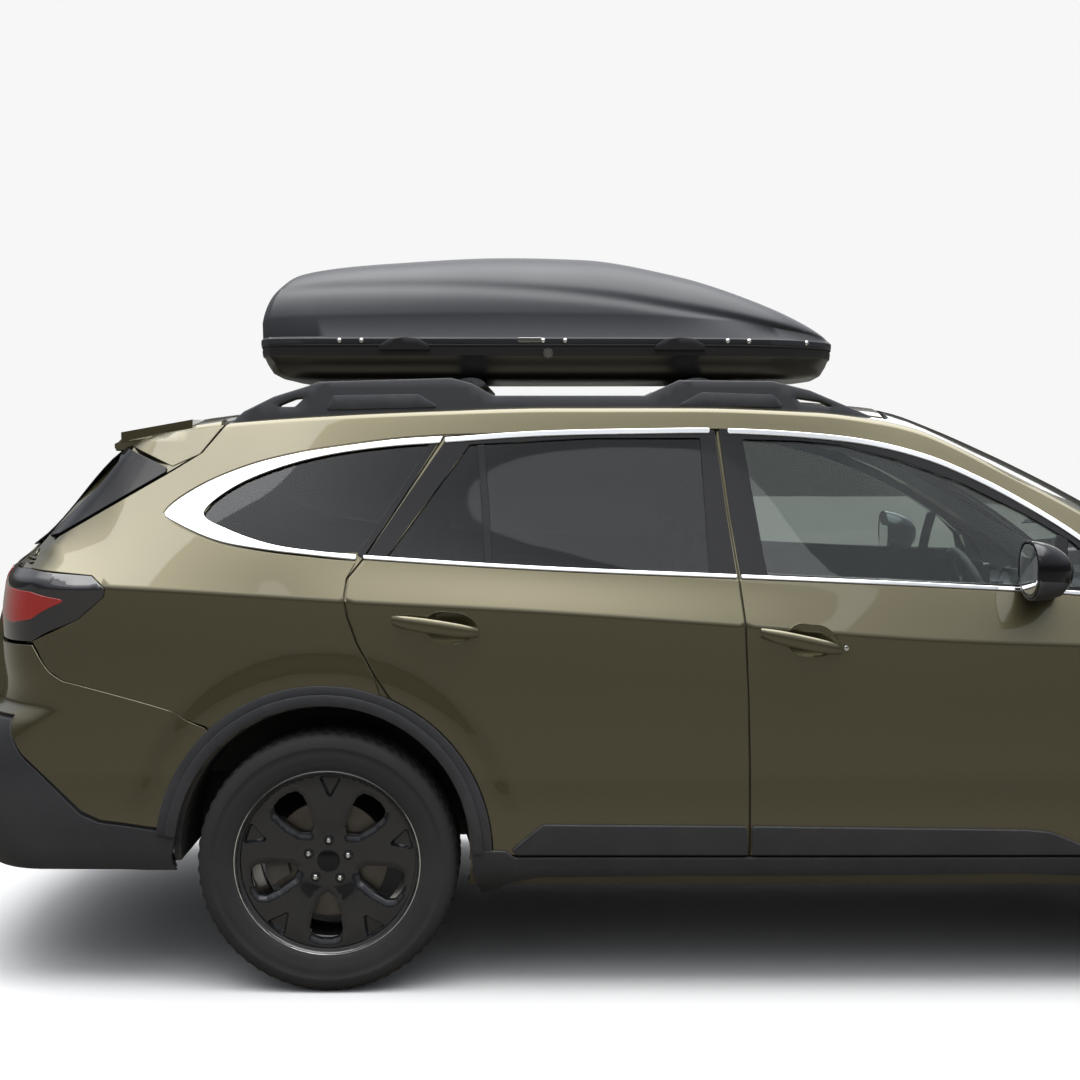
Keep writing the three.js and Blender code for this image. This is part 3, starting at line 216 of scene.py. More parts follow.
# %% Every finish on the car
FINISHES = {
    "paint": finish("paint", (0.125, 0.110, 0.060), 0.34, second=(0.118, 0.104, 0.057), dust=0.04, dust_top=0.7,
                    bump="ripple", bump_scale=70, bump_strength=0.02, bump_depth=0.0006, Metallic=0.85,
                    Coat_Weight=1.0, Coat_Roughness=0.025, Coat_IOR=1.55),
    "cladding": finish("cladding", (0.022, 0.023, 0.027), 0.62, second=(0.026, 0.027, 0.031), dust=0.06,
                       bump="grain", bump_scale=700, bump_strength=0.3, wear=0.08),
    "rail_plastic": finish("rail_plastic", (0.030, 0.032, 0.037), 0.5, second=(0.038, 0.040, 0.046), bump="grain",
                           bump_scale=900, bump_strength=0.2, wear=0.2),
    "gloss_black": finish("gloss_black", (0.006, 0.006, 0.008), 0.16, Coat_Weight=0.3, Coat_Roughness=0.03,
                          IOR=1.35, Coat_IOR=1.35, bump="ripple", bump_scale=90, bump_strength=0.015),
    "tinted_glass": finish("tinted_glass", (0.10, 0.125, 0.15), 0.02, Transmission_Weight=1.0, IOR=1.46),
    "clear_glass": finish("clear_glass", (0.82, 0.91, 0.90), 0.01, Transmission_Weight=1.0, IOR=1.46),
    "tail_lamp_lens": finish("tail_lamp_lens", (0.42, 0.012, 0.012), 0.06, Coat_Weight=1.0, Coat_Roughness=0.02),
    "lamp_smoke": finish("lamp_smoke", (0.022, 0.022, 0.026), 0.08, Coat_Weight=1.0, Coat_Roughness=0.02),
    "headlamp_lens": finish("headlamp_lens", (0.9, 0.92, 0.93), 0.02, Transmission_Weight=1.0, IOR=1.4),
    "lamp_reflector": finish("lamp_reflector", (0.75, 0.76, 0.78), 0.14, Metallic=1.0),
    "tyre": finish("tyre", (0.020, 0.020, 0.021), 0.82, second=(0.026, 0.026, 0.027), patch_scale=9, dust=0.07,
                   dust_top=0.6, bump="grain", bump_scale=500, bump_strength=0.3),
    "wheel": finish("wheel", (0.011, 0.012, 0.015), 0.22, second=(0.014, 0.015, 0.018), dust=0.04, dust_top=0.6,
                    Metallic=0.35, Coat_Weight=0.9, Coat_Roughness=0.05, wear=0.15),
    "chassis": finish("chassis", (0.035, 0.035, 0.037), 0.6, second=(0.06, 0.055, 0.05), dust=0.6, dust_top=1.0,
                      bump="grain", bump_scale=180, bump_strength=0.5, wear=0.5, wear_colour=(0.12, 0.07, 0.04, 1),
                      Metallic=0.5),
    "underbody": finish("underbody", (0.020, 0.020, 0.021), 0.8, second=(0.035, 0.034, 0.033), dust=0.5,
                        bump="grain", bump_scale=160, bump_strength=0.5),
    "engine_alloy": finish("engine_alloy", (0.30, 0.31, 0.32), 0.5, Metallic=0.9, bump="grain", bump_scale=250,
                           bump_strength=0.3),
    "seat_cloth": finish("seat_cloth", (0.040, 0.041, 0.044), 0.95, second=(0.056, 0.057, 0.060), patch_scale=30,
                         bump="weave", bump_scale=330, bump_strength=0.5, Sheen_Weight=0.4, Sheen_Roughness=0.5),
    "cabin_plastic": finish("cabin_plastic", (0.022, 0.022, 0.024), 0.66, bump="grain", bump_scale=800,
                            bump_strength=0.25),
    "headliner": finish("headliner", (0.34, 0.33, 0.31), 0.95, bump="weave", bump_scale=500, bump_strength=0.2),
    "carpet": finish("carpet", (0.020, 0.020, 0.021), 1.0, second=(0.03, 0.03, 0.031), patch_scale=40,
                     bump="grain", bump_scale=350, bump_strength=1.0, bump_depth=0.002),
    "box_lid": finish("box_lid", (0.016, 0.018, 0.023), 0.44, second=(0.019, 0.021, 0.027), dust=0.03,
                      dust_top=0.6, bump="grain", bump_scale=650, bump_strength=0.22),
    "box_base": finish("box_base", (0.012, 0.012, 0.014), 0.3, second=(0.016, 0.016, 0.018), bump="grain",
                       bump_scale=300, bump_strength=0.05),
    "bright_trim": finish("bright_trim", (0.86, 0.87, 0.88), 0.10, second=(0.84, 0.85, 0.86), Metallic=1.0,
                          bump="ripple", bump_scale=60, bump_strength=0.015),
    "brake_steel": finish("brake_steel", (0.16, 0.155, 0.15), 0.42, second=(0.12, 0.10, 0.085), patch_scale=12,
                          Metallic=1.0, Anisotropic=0.6),
    "mirror_glass": finish("mirror_glass", (0.88, 0.89, 0.91), 0.02, Metallic=1.0),
    "seal_rubber": finish("seal_rubber", (0.012, 0.012, 0.013), 0.75, bump="grain", bump_scale=900,
                          bump_strength=0.2),
    "plate": finish("plate", (0.70, 0.71, 0.72), 0.35, Coat_Weight=0.3),
}
print("finishes:", len(FINISHES))

# %% [markdown]
# ## The shape of the body
# A car body is drawn as a few long curves seen from the side and from above, and the sheet metal is the surface
# between them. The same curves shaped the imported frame, in millimetres, so a skin that is worked out from them
# lies on the frame's panels to a fraction of a millimetre, and its reflections run without a facet.

# %% Smooth curves that never overshoot
def hermite(x, x0, x1, v0, v1, m0, m1):
    h = x1 - x0
    t = np.clip((x - x0) / h, 0, 1)
    return ((2 * t**3 - 3 * t**2 + 1) * v0 + (t**3 - 2 * t**2 + t) * h * m0
            + (3 * t**2 - 2 * t**3) * v1 + (t**3 - t**2) * h * m1)


def harmonic(a, b):
    return np.where(a * b > 0, 2 * a * b / np.where(a * b > 0, a + b, 1), 0)


def curve(*points):
    xs, vs = np.array(points, float).T
    steps = np.diff(vs) / np.diff(xs)
    slopes = np.concatenate([[steps[0]], harmonic(steps[:-1], steps[1:]), [steps[-1]]])

    def at(x):
        x = np.asarray(x, float)
        i = np.clip(np.searchsorted(xs, x, side="right") - 1, 0, len(xs) - 2)
        return hermite(x, xs[i], xs[i + 1], vs[i], vs[i + 1], slopes[i], slopes[i + 1])
    return at


# %% The long curves of the body, in millimetres
half_width = curve((-2430, 875), (-1900, 895), (-1285, 913), (-700, 918), (0, 918), (700, 915), (1460, 911),
                   (1800, 891), (2430, 825))
crease_z = curve((-2300, 1128), (-1850, 1109), (-1228, 1073), (-760, 1049), (-163, 1008), (373, 968), (743, 955),
                 (1200, 946), (1700, 925), (2200, 890))
belt_z = curve((-2300, 1140), (-2100, 1172), (-1850, 1200), (-1467, 1205), (-1182, 1181), (-652, 1149),
               (-162, 1129), (383, 1105), (760, 1084), (1060, 1052), (1500, 985), (1800, 945), (2300, 885))
belt_inset = curve((-2300, 40), (-1900, 62), (700, 58), (1100, 46), (1500, 38), (2300, 30))
edge_z = curve((-2300, 1158), (-2200, 1180), (-2120, 1228), (-1900, 1478), (-1860, 1500), (-1750, 1528),
               (-1600, 1550), (-1380, 1568), (-1020, 1585), (-658, 1594), (-298, 1594), (62, 1582), (255, 1558),
               (357, 1533), (441, 1498), (580, 1425), (720, 1350), (837, 1281), (1000, 1160), (1060, 1104),
               (1200, 1078), (1500, 1030), (1800, 985), (2100, 925), (2300, 880), (2430, 850))
edge_y = curve((-2300, 740), (-2120, 700), (-1900, 628), (-1600, 640), (-1200, 657), (-700, 668), (-200, 672),
               (255, 655), (600, 700), (837, 752), (1000, 790), (1200, 792), (1500, 776), (1800, 745), (2100, 700),
               (2430, 640))
roof_z = curve((-2255, 1165), (-2215, 1200), (-2180, 1228), (-1950, 1492), (-1900, 1515), (-1750, 1555),
               (-1600, 1582), (-1380, 1603), (-1020, 1622), (-658, 1632), (-298, 1633), (62, 1626), (255, 1612),
               (330, 1603), (480, 1552), (630, 1488), (780, 1416), (980, 1312), (1225, 1165), (1400, 1055))
screen_edge_z = curve((837, 1281), (1000, 1160), (1100, 1085), (1400, 850))
bonnet_z = curve((900, 1168), (1225, 1136), (1500, 1096), (1800, 1046), (2100, 976), (2300, 912), (2430, 866))
rear_x = curve((280, -2300), (380, -2408), (480, -2430), (620, -2428), (700, -2405), (745, -2372), (778, -2316),
               (850, -2300), (1000, -2298), (1100, -2284), (1165, -2255), (1200, -2215), (1228, -2180),
               (1350, -2075), (1492, -1950), (1515, -1900), (1555, -1750), (1582, -1600))
front_x = curve((240, 2320), (330, 2392), (420, 2424), (480, 2430), (680, 2422), (800, 2400), (870, 2372),
                (930, 2330), (1100, 2000))
rear_reach = curve((300, 330), (740, 330), (900, 280), (1165, 260), (1228, 160), (1500, 140))
low_inset = curve((268, 95), (300, 50), (340, 20), (400, 8), (470, 5), (600, 11))
high_inset = curve((0, 0), (55, 6), (150, 10), (325, 11))
deck_blend = curve((850, 0), (1000, 1))
FRONT_REACH, CORNER_POWER, CROWN_POWER = 520, 2.4, 2.3
REAR_ARCH, FRONT_ARCH = (-1293, 388), (1452, 388)
ARCH_R, ARCH_TRIM = 402, 56
FLARE = 7


# %% From the curves to points on the body
def corner(u):
    return (1 - (1 - np.clip(u, 0, 1)) ** CORNER_POWER) ** (1 / CORNER_POWER)


def wall_y(x, z):
    """Half width before the corners round it off, with the swelling round the wheel arches."""
    crease, wide, belt, inset = crease_z(x), half_width(x), belt_z(x), belt_inset(x)
    low = wide - np.where(z < 600, low_inset(z), high_inset(np.maximum(crease - z, 0)))
    top = np.maximum(edge_z(x), belt + 8)
    first, second = -inset / (belt - crease), (edge_y(x) - wide + inset) / (top - belt)
    middle = harmonic(first, second)
    shoulder = hermite(z, crease, belt, wide, wide - inset, first, middle)
    glass = hermite(z, belt, top, wide - inset, edge_y(x), middle, second)
    y = np.where(z <= crease, low, np.where(z <= belt, shoulder, glass))
    for cx, cz in (REAR_ARCH, FRONT_ARCH):
        near = np.clip((560 - np.hypot(x - cx, z - cz)) / 80, 0, 1)
        y = y + FLARE * near**2 * (3 - 2 * near) * np.clip((crease - 40 - z) / 120, 0, 1)
    return y


def side_y(x, z):
    return wall_y(x, z) * np.minimum(corner((x - rear_x(z)) / rear_reach(z)), corner((front_x(z) - x) / FRONT_REACH))


def crown_z(x, y):
    edge = np.where(x > 837, screen_edge_z(x), edge_z(x))
    wide = np.where(x > 837, edge_y(x), side_y(x, edge))
    return edge + (roof_z(x) - edge) * (1 - np.clip(np.abs(y) / wide, 0, 1) ** CROWN_POWER)


def deck_z(x, y):
    top = edge_z(x)
    rise = np.maximum(0, bonnet_z(x) - top) * deck_blend(x)
    return top + rise * (1 - np.clip(np.abs(y) / edge_y(x), 0, 1) ** CROWN_POWER)


# %% Surfaces that a panel can be laid on: two plane coordinates in, points out
EDGE_ROUND = 10


def over_edge(x, v, top_z):
    """Right side of the car: v is height up to the body's upper edge, and width travelled inwards beyond it."""
    edge = edge_z(x)

    def raw(w):
        beyond = np.maximum(w - edge, 0)
        below = np.minimum(w, edge)
        y = np.where(w > edge, edge_y_at(x) - beyond, side_y(x, below))
        return np.stack([x, -y, np.where(w > edge, top_z(x, y), below)], 1)

    def edge_y_at(at):
        return side_y(at, edge_z(at))

    t = np.clip((v - edge + EDGE_ROUND) / (2 * EDGE_ROUND), 0, 1)[:, None]
    before, after, tip = raw(edge - EDGE_ROUND), raw(edge + EDGE_ROUND), raw(edge)
    bend = (1 - t) ** 2 * before + 2 * t * (1 - t) * tip + t**2 * after
    near = (np.abs(v - edge) < EDGE_ROUND)[:, None]
    return np.where(near, bend, raw(v))


def on_side(x, z):
    return np.stack([x, -side_y(x, z), z], 1)


def on_side_and_roof(x, v):
    return over_edge(x, v, crown_z)


def on_wing(x, v):
    return over_edge(x, v, deck_z)


def on_roof(x, y):
    return np.stack([x, y, crown_z(x, y)], 1)


def on_bonnet(x, y):
    """The bonnet has two soft folds that run from the windscreen to the grille."""
    fold = 500 - 0.06 * (x - 1200)
    lift = 5 * np.exp(-(((np.abs(y) - fold) / 60) ** 2)) * np.clip((x - 1180) / 200, 0, 1)
    return np.stack([x, y, deck_z(x, y) + lift * np.clip((2280 - x) / 200, 0, 1)], 1)


NOSE_SCALE, TAIL_SCALE = 720, 470


def round_end(s, z, scale, reach, end, way):
    """Round the front or rear end: s runs along the bumper from the middle, negative on the right."""
    across = np.abs(s) / scale
    angle = np.minimum(across, math.pi / 2)
    along = np.clip(np.cos(angle), 0, 1) ** (2 / CORNER_POWER)
    straight = np.maximum(across - math.pi / 2, 0) * scale
    x = end - way * (reach * (1 - along) + straight)
    y = wall_y(x, z) * np.sin(angle) ** (2 / CORNER_POWER) * np.sign(s)
    return np.stack([x, y, z], 1)


def on_nose(s, z):
    return round_end(s, z, NOSE_SCALE, FRONT_REACH, front_x(z), 1)


def on_tail(s, z):
    return round_end(s, z, TAIL_SCALE, rear_reach(z), rear_x(z), -1)


def along_end(x, scale, reach, end, way):
    """The s of a point that is given by its x in a side view."""
    u = way * (end - x) / reach
    inside = scale * np.arccos(np.clip(1 - u, 0, 1) ** (CORNER_POWER / 2))
    return np.where(u < 1, inside, scale * math.pi / 2 + (u - 1) * reach)


def nose_points(points):
    return [(-float(along_end(x, NOSE_SCALE, FRONT_REACH, front_x(z), 1)), z) for x, z in points]


def tail_points(points):
    return [(-float(along_end(x, TAIL_SCALE, rear_reach(z), rear_x(z), -1)), z) for x, z in points]


print("body half width at the doors:", round(float(side_y(np.array([0.0]), np.array([700.0]))[0]), 1), "mm")

# %% [markdown]
# ## Turning an outline into a pressed panel
# A real panel is thin sheet with a hemmed, rounded edge, and that edge is what makes a shut line look like one.
# Each panel here starts as an outline in a plane. It is filled with triangles, laid on the body surface, given
# a rounded edge and a back, and its normals come from the surface itself, which keeps reflections calm.

# %% Outline tools
def flow(points, step=14, closed=False):
    """A smooth line through the points, sampled about every step."""
    p = np.array(points, float)
    n = len(p)
    count = n if closed else n - 1
    line = []
    for i in range(count):
        a, b = p[i], p[(i + 1) % n]
        before = p[(i - 1) % n] if closed or i else 2 * a - b
        after = p[(i + 2) % n] if closed or i + 2 < n else 2 * b - a
        gap = np.linalg.norm(b - a)
        m0 = (b - before) * gap / (gap + np.linalg.norm(a - before) + 1e-9)
        m1 = (after - a) * gap / (gap + np.linalg.norm(after - b) + 1e-9)
        parts = max(1, round(gap / step))
        for t in np.arange(parts) / parts:
            line.append((2 * t**3 - 3 * t**2 + 1) * a + (t**3 - 2 * t**2 + t) * m0 + (3 * t**2 - 2 * t**3) * b
                        + (t**3 - t**2) * m1)
    return line if closed else line + [p[-1]]


def arc(centre, radius, start, end, count=12):
    angles = np.radians(np.linspace(start, end, count))
    return [(centre[0] + radius * math.cos(a), centre[1] + radius * math.sin(a)) for a in angles]


def rounded(outline, radius, step):
    """Rounds the sharp corners of a closed outline and splits its long sides."""
    p = np.array(outline, float)
    n = len(p)
    soft = []
    for i in range(n):
        before, at, after = p[i - 1] - p[i], p[i], p[(i + 1) % n] - p[i]
        a, b = np.linalg.norm(before), np.linalg.norm(after)
        turn = math.acos(np.clip(-(before @ after) / max(a * b, 1e-9), -1, 1))
        if turn < 0.3 or radius == 0:
            soft.append(at)
            continue
        reach = min(radius * math.tan(turn / 2), 0.45 * a, 0.45 * b)
        one, two = at + before / a * reach, at + after / b * reach
        soft += [(1 - t) ** 2 * one + 2 * t * (1 - t) * at + t**2 * two for t in np.linspace(0, 1, 6)]
    line = []
    for i, a in enumerate(soft):
        b = soft[(i + 1) % len(soft)]
        gap = np.linalg.norm(b - a)
        if gap < 0.05:
            continue
        parts = max(1, math.ceil(gap / step))
        line += [a + (b - a) * t for t in np.arange(parts) / parts]
    return np.array(line)


def area(loop):
    x, y = loop[:, 0], loop[:, 1]
    return 0.5 * np.sum(x * np.roll(y, -1) - np.roll(x, -1) * y)


def shifted(loop, by):
    """A closed loop moved to its left by a distance; the loop keeps its count of points."""
    ahead = np.roll(loop, -1, 0) - loop
    behind = loop - np.roll(loop, 1, 0)
    ahead /= np.linalg.norm(ahead, axis=1)[:, None] + 1e-9
    behind /= np.linalg.norm(behind, axis=1)[:, None] + 1e-9
    mean = ahead + behind
    mean /= np.linalg.norm(mean, axis=1)[:, None] + 1e-9
    left = np.stack([-mean[:, 1], mean[:, 0]], 1)
    stretch = 1 / np.clip(np.einsum("ij,ij->i", mean, ahead), 0.5, 1)
    return loop + left * (by * stretch)[:, None]


def inside(points, loop):
    """Which points lie inside a closed loop."""
    x, y = points[:, 0][:, None], points[:, 1][:, None]
    x0, y0 = loop[:, 0], loop[:, 1]
    x1, y1 = np.roll(x0, -1), np.roll(y0, -1)
    crosses = (y0 > y) != (y1 > y)
    at = x0 + (y - y0) * (x1 - x0) / np.where(y1 == y0, 1e-9, y1 - y0)
    return (crosses & (x < at)).sum(1) % 2 == 1


def far_from(points, loop, least):
    a, b = loop, np.roll(loop, -1, 0)
    d = b - a
    t = np.clip(np.einsum("pij,ij->pi", points[:, None] - a[None], d) / (np.einsum("ij,ij->i", d, d) + 1e-9), 0, 1)
    gap = points[:, None] - (a[None] + t[..., None] * d[None])
    return (np.linalg.norm(gap, axis=2) > least).all(1)


# %% Filling a region with even triangles
def fill(loops, step, folds=()):
    """Points and triangles inside the first loop and outside the others, with edges along every fold."""
    low, high = loops[0].min(0), loops[0].max(0)
    rows = max(2, round((high[1] - low[1]) / (step * 0.87)))
    grid = [(x + (row % 2) * step / 2, y) for row, y in enumerate(np.linspace(low[1], high[1], rows))
            for x in np.arange(low[0], high[0], step)]
    grid = np.array(grid)
    keep = inside(grid, loops[0]) & far_from(grid, loops[0], step * 0.5)
    for hole in loops[1:]:
        keep &= ~inside(grid, hole) & far_from(grid, hole, step * 0.5)
    grid = grid[keep]
    rings, creases = [], []
    for fold in folds:
        line = np.array(fold, float)
        allowed = inside(line, loops[0]) & far_from(line, loops[0], step * 0.35)
        for hole in loops[1:]:
            allowed &= ~inside(line, hole) & far_from(line, hole, step * 0.35)
        if allowed.all() and np.allclose(line[0], line[-1]):
            rings.append(line[:-1])
            continue
        parts = np.split(np.arange(len(line)), np.flatnonzero(~allowed))
        creases += [line[part[allowed[part]]] for part in parts if allowed[part].sum() > 1]
    for line in [*rings, *creases]:
        gap = np.linalg.norm(grid[:, None] - line[None], axis=2).min(1)
        grid = grid[gap > step * 0.55]
    points = np.concatenate([*loops, *rings, *creases, grid])
    edges, start = [], 0
    for loop in [*loops, *rings]:
        edges += [(start + i, start + (i + 1) % len(loop)) for i in range(len(loop))]
        start += len(loop)
    for line in creases:
        edges += [(start + i, start + i + 1) for i in range(len(line) - 1)]
        start += len(line)
    made = delaunay_2d_cdt([Vector(p) for p in points], edges, [], 0, 1e-6)
    if len(made[0]) != len(points) or not all(made[3]):
        crossings = [tuple(round(c) for c in p) for p, source in zip(made[0], made[3]) if not source]
        merged = [tuple(round(c) for c in p) for p, source in zip(made[0], made[3]) if len(source) > 1]
        raise ValueError(f"an outline crosses itself at {crossings[:8]} or touches itself at {merged[:8]}")
    origin = {i: source[0] for i, source in enumerate(made[3])}
    triangles = np.array([[origin[i] for i in face] for face in made[2]])
    centres = points[triangles].mean(1)
    keep = inside(centres, loops[0])
    for hole in loops[1:]:
        keep &= ~inside(centres, hole)
    triangles = triangles[keep]
    a, b, c = (points[triangles[:, k]] for k in range(3))
    turn = (b[:, 0] - a[:, 0]) * (c[:, 1] - a[:, 1]) - (b[:, 1] - a[:, 1]) * (c[:, 0] - a[:, 0])
    triangles[turn < 0] = triangles[turn < 0][:, ::-1]
    return points, triangles[np.abs(turn) > 1e-9]


# %% Laying the region on a surface, with a rounded edge and a back
def surface_normals(surface, uv, facing=None):
    e = 2.5
    across = surface(uv[:, 0] + e, uv[:, 1]) - surface(uv[:, 0] - e, uv[:, 1])
    up = surface(uv[:, 0], uv[:, 1] + e) - surface(uv[:, 0], uv[:, 1] - e)
    n = np.cross(across, up)
    n /= np.linalg.norm(n, axis=1)[:, None] + 1e-12
    p = surface(uv[:, 0], uv[:, 1])
    middle = np.stack([np.clip(p[:, 0], -1700, 1700), np.zeros(len(p)), np.full(len(p), 750)], 1)
    out = p - middle if facing is None else np.array([facing], float)
    return p, n * np.where(np.einsum("ij,ij->i", n, np.broadcast_to(out, n.shape)) < 0, -1, 1)[:, None]


def pressed(outline, surface, holes=(), lift=2.6, thick=3.0, edge=2.2, corner_radius=7, step=22, crown=None,
            folds=(), facing=None):
    """Mesh data (points, triangles, normal of each triangle's corners) of one pressed piece.

    A piece too narrow for its rounded edge gets a smaller one."""
    widest = edge
    radius = max(corner_radius, 2.5 * edge) if corner_radius else 0
    loops = [rounded(o, radius, step * 0.8) for o in [outline, *holes]]
    loops = [loop if (area(loop) > 0) == (i == 0) else loop[::-1] for i, loop in enumerate(loops)]
    for share in (1, 0.7, 0.45, 0.25, 0.1):
        edge = widest * share
        try:
            inner = [shifted(loop, edge) for loop in loops]
            uv, triangles = fill(inner, step, folds)
            break
        except ValueError as problem:
            if share == 0.1:
                raise problem
    sizes = [len(loop) for loop in loops]
    rim = sum(sizes)
    p, n = surface_normals(surface, uv, facing)
    height = np.full(len(uv), lift) + (crown(uv) if crown else 0)
    front = p + n * height[:, None]
    back = p + n * (lift - thick)
    turned = front[triangles]
    flat = np.cross(turned[:, 1] - turned[:, 0], turned[:, 2] - turned[:, 0])
    if np.sum(np.einsum("ij,ij->i", flat, n[triangles[:, 0]])) < 0:
        triangles = triangles[:, ::-1]
        flip = True
    else:
        flip = False
    outer = np.concatenate(loops)
    op, on = surface_normals(surface, outer, facing)
    mid_uv = np.concatenate([shifted(loop, edge * 0.3) for loop in loops])
    mp, mn = surface_normals(surface, mid_uv, facing)
    rise = height[:rim]
    ring_b = mp + mn * (rise - edge * 0.3)[:, None]
    ring_c = op + on * (rise - edge)[:, None]
    ring_d = op + on * (lift - thick)
    away = op - p[:rim]
    away -= on * np.einsum("ij,ij->i", away, on)[:, None]
    away /= np.linalg.norm(away, axis=1)[:, None] + 1e-12
    bevel = mn + away
    bevel /= np.linalg.norm(bevel, axis=1)[:, None]
    total = len(uv)
    points = np.concatenate([front, back, ring_b, ring_c, ring_d])
    starts = {"front": 0, "back": total, "b": 2 * total, "c": 2 * total + rim, "d": 2 * total + 2 * rim}
    faces, normals = [triangles, triangles[:, ::-1] + total], [n[triangles], -n[triangles[:, ::-1]]]
    strips = [("front", "b", n[:rim], bevel), ("b", "c", bevel, away), ("c", "d", away, away),
              ("d", "back", -n[:rim], -n[:rim])]
    start = 0
    for size in sizes:
        here = np.arange(start, start + size)
        ahead = np.roll(here, -1)
        for low, high, low_n, high_n in strips:
            quads = [np.stack([here + starts[low], here + starts[high], ahead + starts[high]], 1),
                     np.stack([here + starts[low], ahead + starts[high], ahead + starts[low]], 1)]
            turns = [np.stack([low_n[here], high_n[here], high_n[ahead]], 1),
                     np.stack([low_n[here], high_n[ahead], low_n[ahead]], 1)]
            for quad, turn in zip(quads, turns):
                faces.append(quad[:, ::-1] if flip else quad)
                normals.append(turn[:, ::-1] if flip else turn)
        start += size
    return points, np.concatenate(faces), None if crown else np.concatenate(normals)


# %% From mesh data to a piece on the car
PIECES = []


def show(name, data, body, material, mirrored=False, stands_for=()):
    """Makes the piece, on the other side of the car when mirrored, and ties it to its body and its slot."""
    points, faces, normals = data
    points = np.array(points, float) * MM
    faces = np.array(faces)
    if mirrored:
        points = points * (1, -1, 1)
        faces = faces[:, ::-1]
        normals = None if normals is None else normals[:, ::-1] * (1, -1, 1)
    mesh = bpy.data.meshes.new(name)
    mesh.from_pydata(points.tolist(), [], faces.tolist())
    mesh.materials.append(FINISHES[material])
    mesh.polygons.foreach_set("use_smooth", [True] * len(mesh.polygons))
    if normals is None:
        mesh.set_sharp_from_angle(angle=math.radians(38))
    else:
        mesh.normals_split_custom_set(normals.reshape(-1, 3).tolist())
    piece = bpy.data.objects.new(name, mesh)
    bpy.context.scene.collection.objects.link(piece)
    return tie(piece, body, stands_for)


def tie(piece, body, stands_for=()):
    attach(piece, body)
    if stands_for:
        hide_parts(*stands_for)
    PIECES.append(piece)
    return piece


def both(name, data, body, material, slot=None, stands_for=()):
    """One piece on the right and its mirror image on the left. Body and node names take the side's ending."""
    for side, mirrored in (("_right", False), ("_left", True)):
        show(name + side, data, body if body == "body" else body.replace("*", side), material, mirrored,
             [node + side for node in stands_for])

# %% [markdown]
# ## Painted panels
# The skins follow the real shut lines: one panel runs from the tail lamp over the rear arch and along the roof
# to the foot of the windscreen, and the doors, wing, bonnet, roof and tailgate are laid into what is left. Every
# skin is a little larger than the panel of the frame under it, so the gaps read as the few millimetres they are.

# %% Side panel, from the tail lamp to the windscreen pillar
TRIM_TOP = [(-974, 1513), (-706, 1531), (-398, 1538), (-207, 1539), (22, 1528), (219, 1505), (388, 1461),
            (529, 1399), (642, 1337), (756, 1264), (838, 1200), (898, 1140)]
DOOR_GAP = [(-215, 1539), (-188, 1299), (-166, 1137), (-153, 1005), (-143, 808), (-138, 617), (-138, 382)]
REAR_EDGE = [(-974, 1513), (-1080, 1346), (-1182, 1187), (-1226, 1131), (-1231, 1086), (-1223, 1034),
             (-1197, 960), (-1152, 876)]
QUARTER_GLASS = [(-1191, 1200), (-1305, 1202), (-1441, 1222), (-1564, 1262), (-1635, 1303), (-1559, 1373),
                 (-1432, 1429), (-1292, 1465), (-1125, 1488), (-1000, 1496)]
QUARTER_BRIGHT = [(-976, 1517), (-1105, 1508), (-1239, 1491), (-1379, 1469), (-1520, 1433), (-1661, 1371),
                  (-1742, 1304), (-1706, 1278), (-1589, 1231), (-1467, 1209), (-1331, 1193), (-1205, 1180)]
LAMP_OUTLINE = [(-2099, 1155), (-1919, 1139), (-1879, 1107), (-1883, 1085), (-1957, 1021), (-2085, 961)]
BONNET_SIDE = [(1132, -744), (1250, -752), (1500, -736), (1800, -700), (2060, -640)]
GAP = 4.2


def shut(line, by):
    """A line moved sideways by a gap, to the right of its direction."""
    p = np.array(line, float)
    way = np.gradient(p, axis=0)
    way /= np.linalg.norm(way, axis=1)[:, None]
    return [tuple(q) for q in p + np.stack([way[:, 1], -way[:, 0]], 1) * by]


def edge_line(xs, width_y):
    """The inner edge of the side panel on the roof: height to the body's edge plus the width up to width_y."""
    xs = np.array(xs, float)
    return list(zip(xs, edge_z(xs) + side_y(xs, edge_z(xs)) - width_y(xs)))


screen_side = curve((286, 566), (520, 606), (900, 678), (1128, 721))
roof_run = edge_line(np.linspace(-1590, 284, 40), lambda x: np.full(len(x), 599.0))
pillar_run = edge_line(np.linspace(290, 1126, 18), screen_side)
side_outline = [
    *arc(REAR_ARCH, ARCH_R + 44, 69, 131, 16), (-1622, 737), (-2001, 860), (-2037, 887),
    *reversed(LAMP_OUTLINE), (-2096, 1176), (-2037, 1240), (-1729, 1423), (-1655, 1470), (-1587, 1558),
    *roof_run, *pillar_run, (1137, 1082), (938, 1081), (934, 1090),
    *shut(list(reversed(TRIM_TOP[1:])), -GAP / 2), *shut(flow(QUARTER_BRIGHT, 20), 4), *shut(REAR_EDGE[3:], GAP)]
crease = [[(x, float(crease_z(x)) + rise) for x in np.arange(-2200, 2200, 14)] for rise in (-8, 0, 8)]
roof_edge = [[(x, float(edge_z(x)) + rise) for x in np.arange(-2100, 2300, 14)] for rise in (-11, 0, 11)]
both("side_panel", pressed(side_outline, on_side_and_roof, corner_radius=5, folds=crease + roof_edge), "body",
     "paint")
print("side panels:", len(PIECES[-1].data.polygons), "triangles each")

# %% Doors below the window line
def belt_run(start, end, by=0.0, count=12):
    return [(float(x), float(belt_z(x)) + by) for x in np.linspace(start, end, count)]


def cut_below(line, z):
    """The part of a falling line that lies below a height, with its crossing point first."""
    p = np.array(line, float)
    at = np.interp(-z, -p[:, 1], p[:, 0])
    return [(float(at), z), *[tuple(q) for q in p if q[1] < z]]


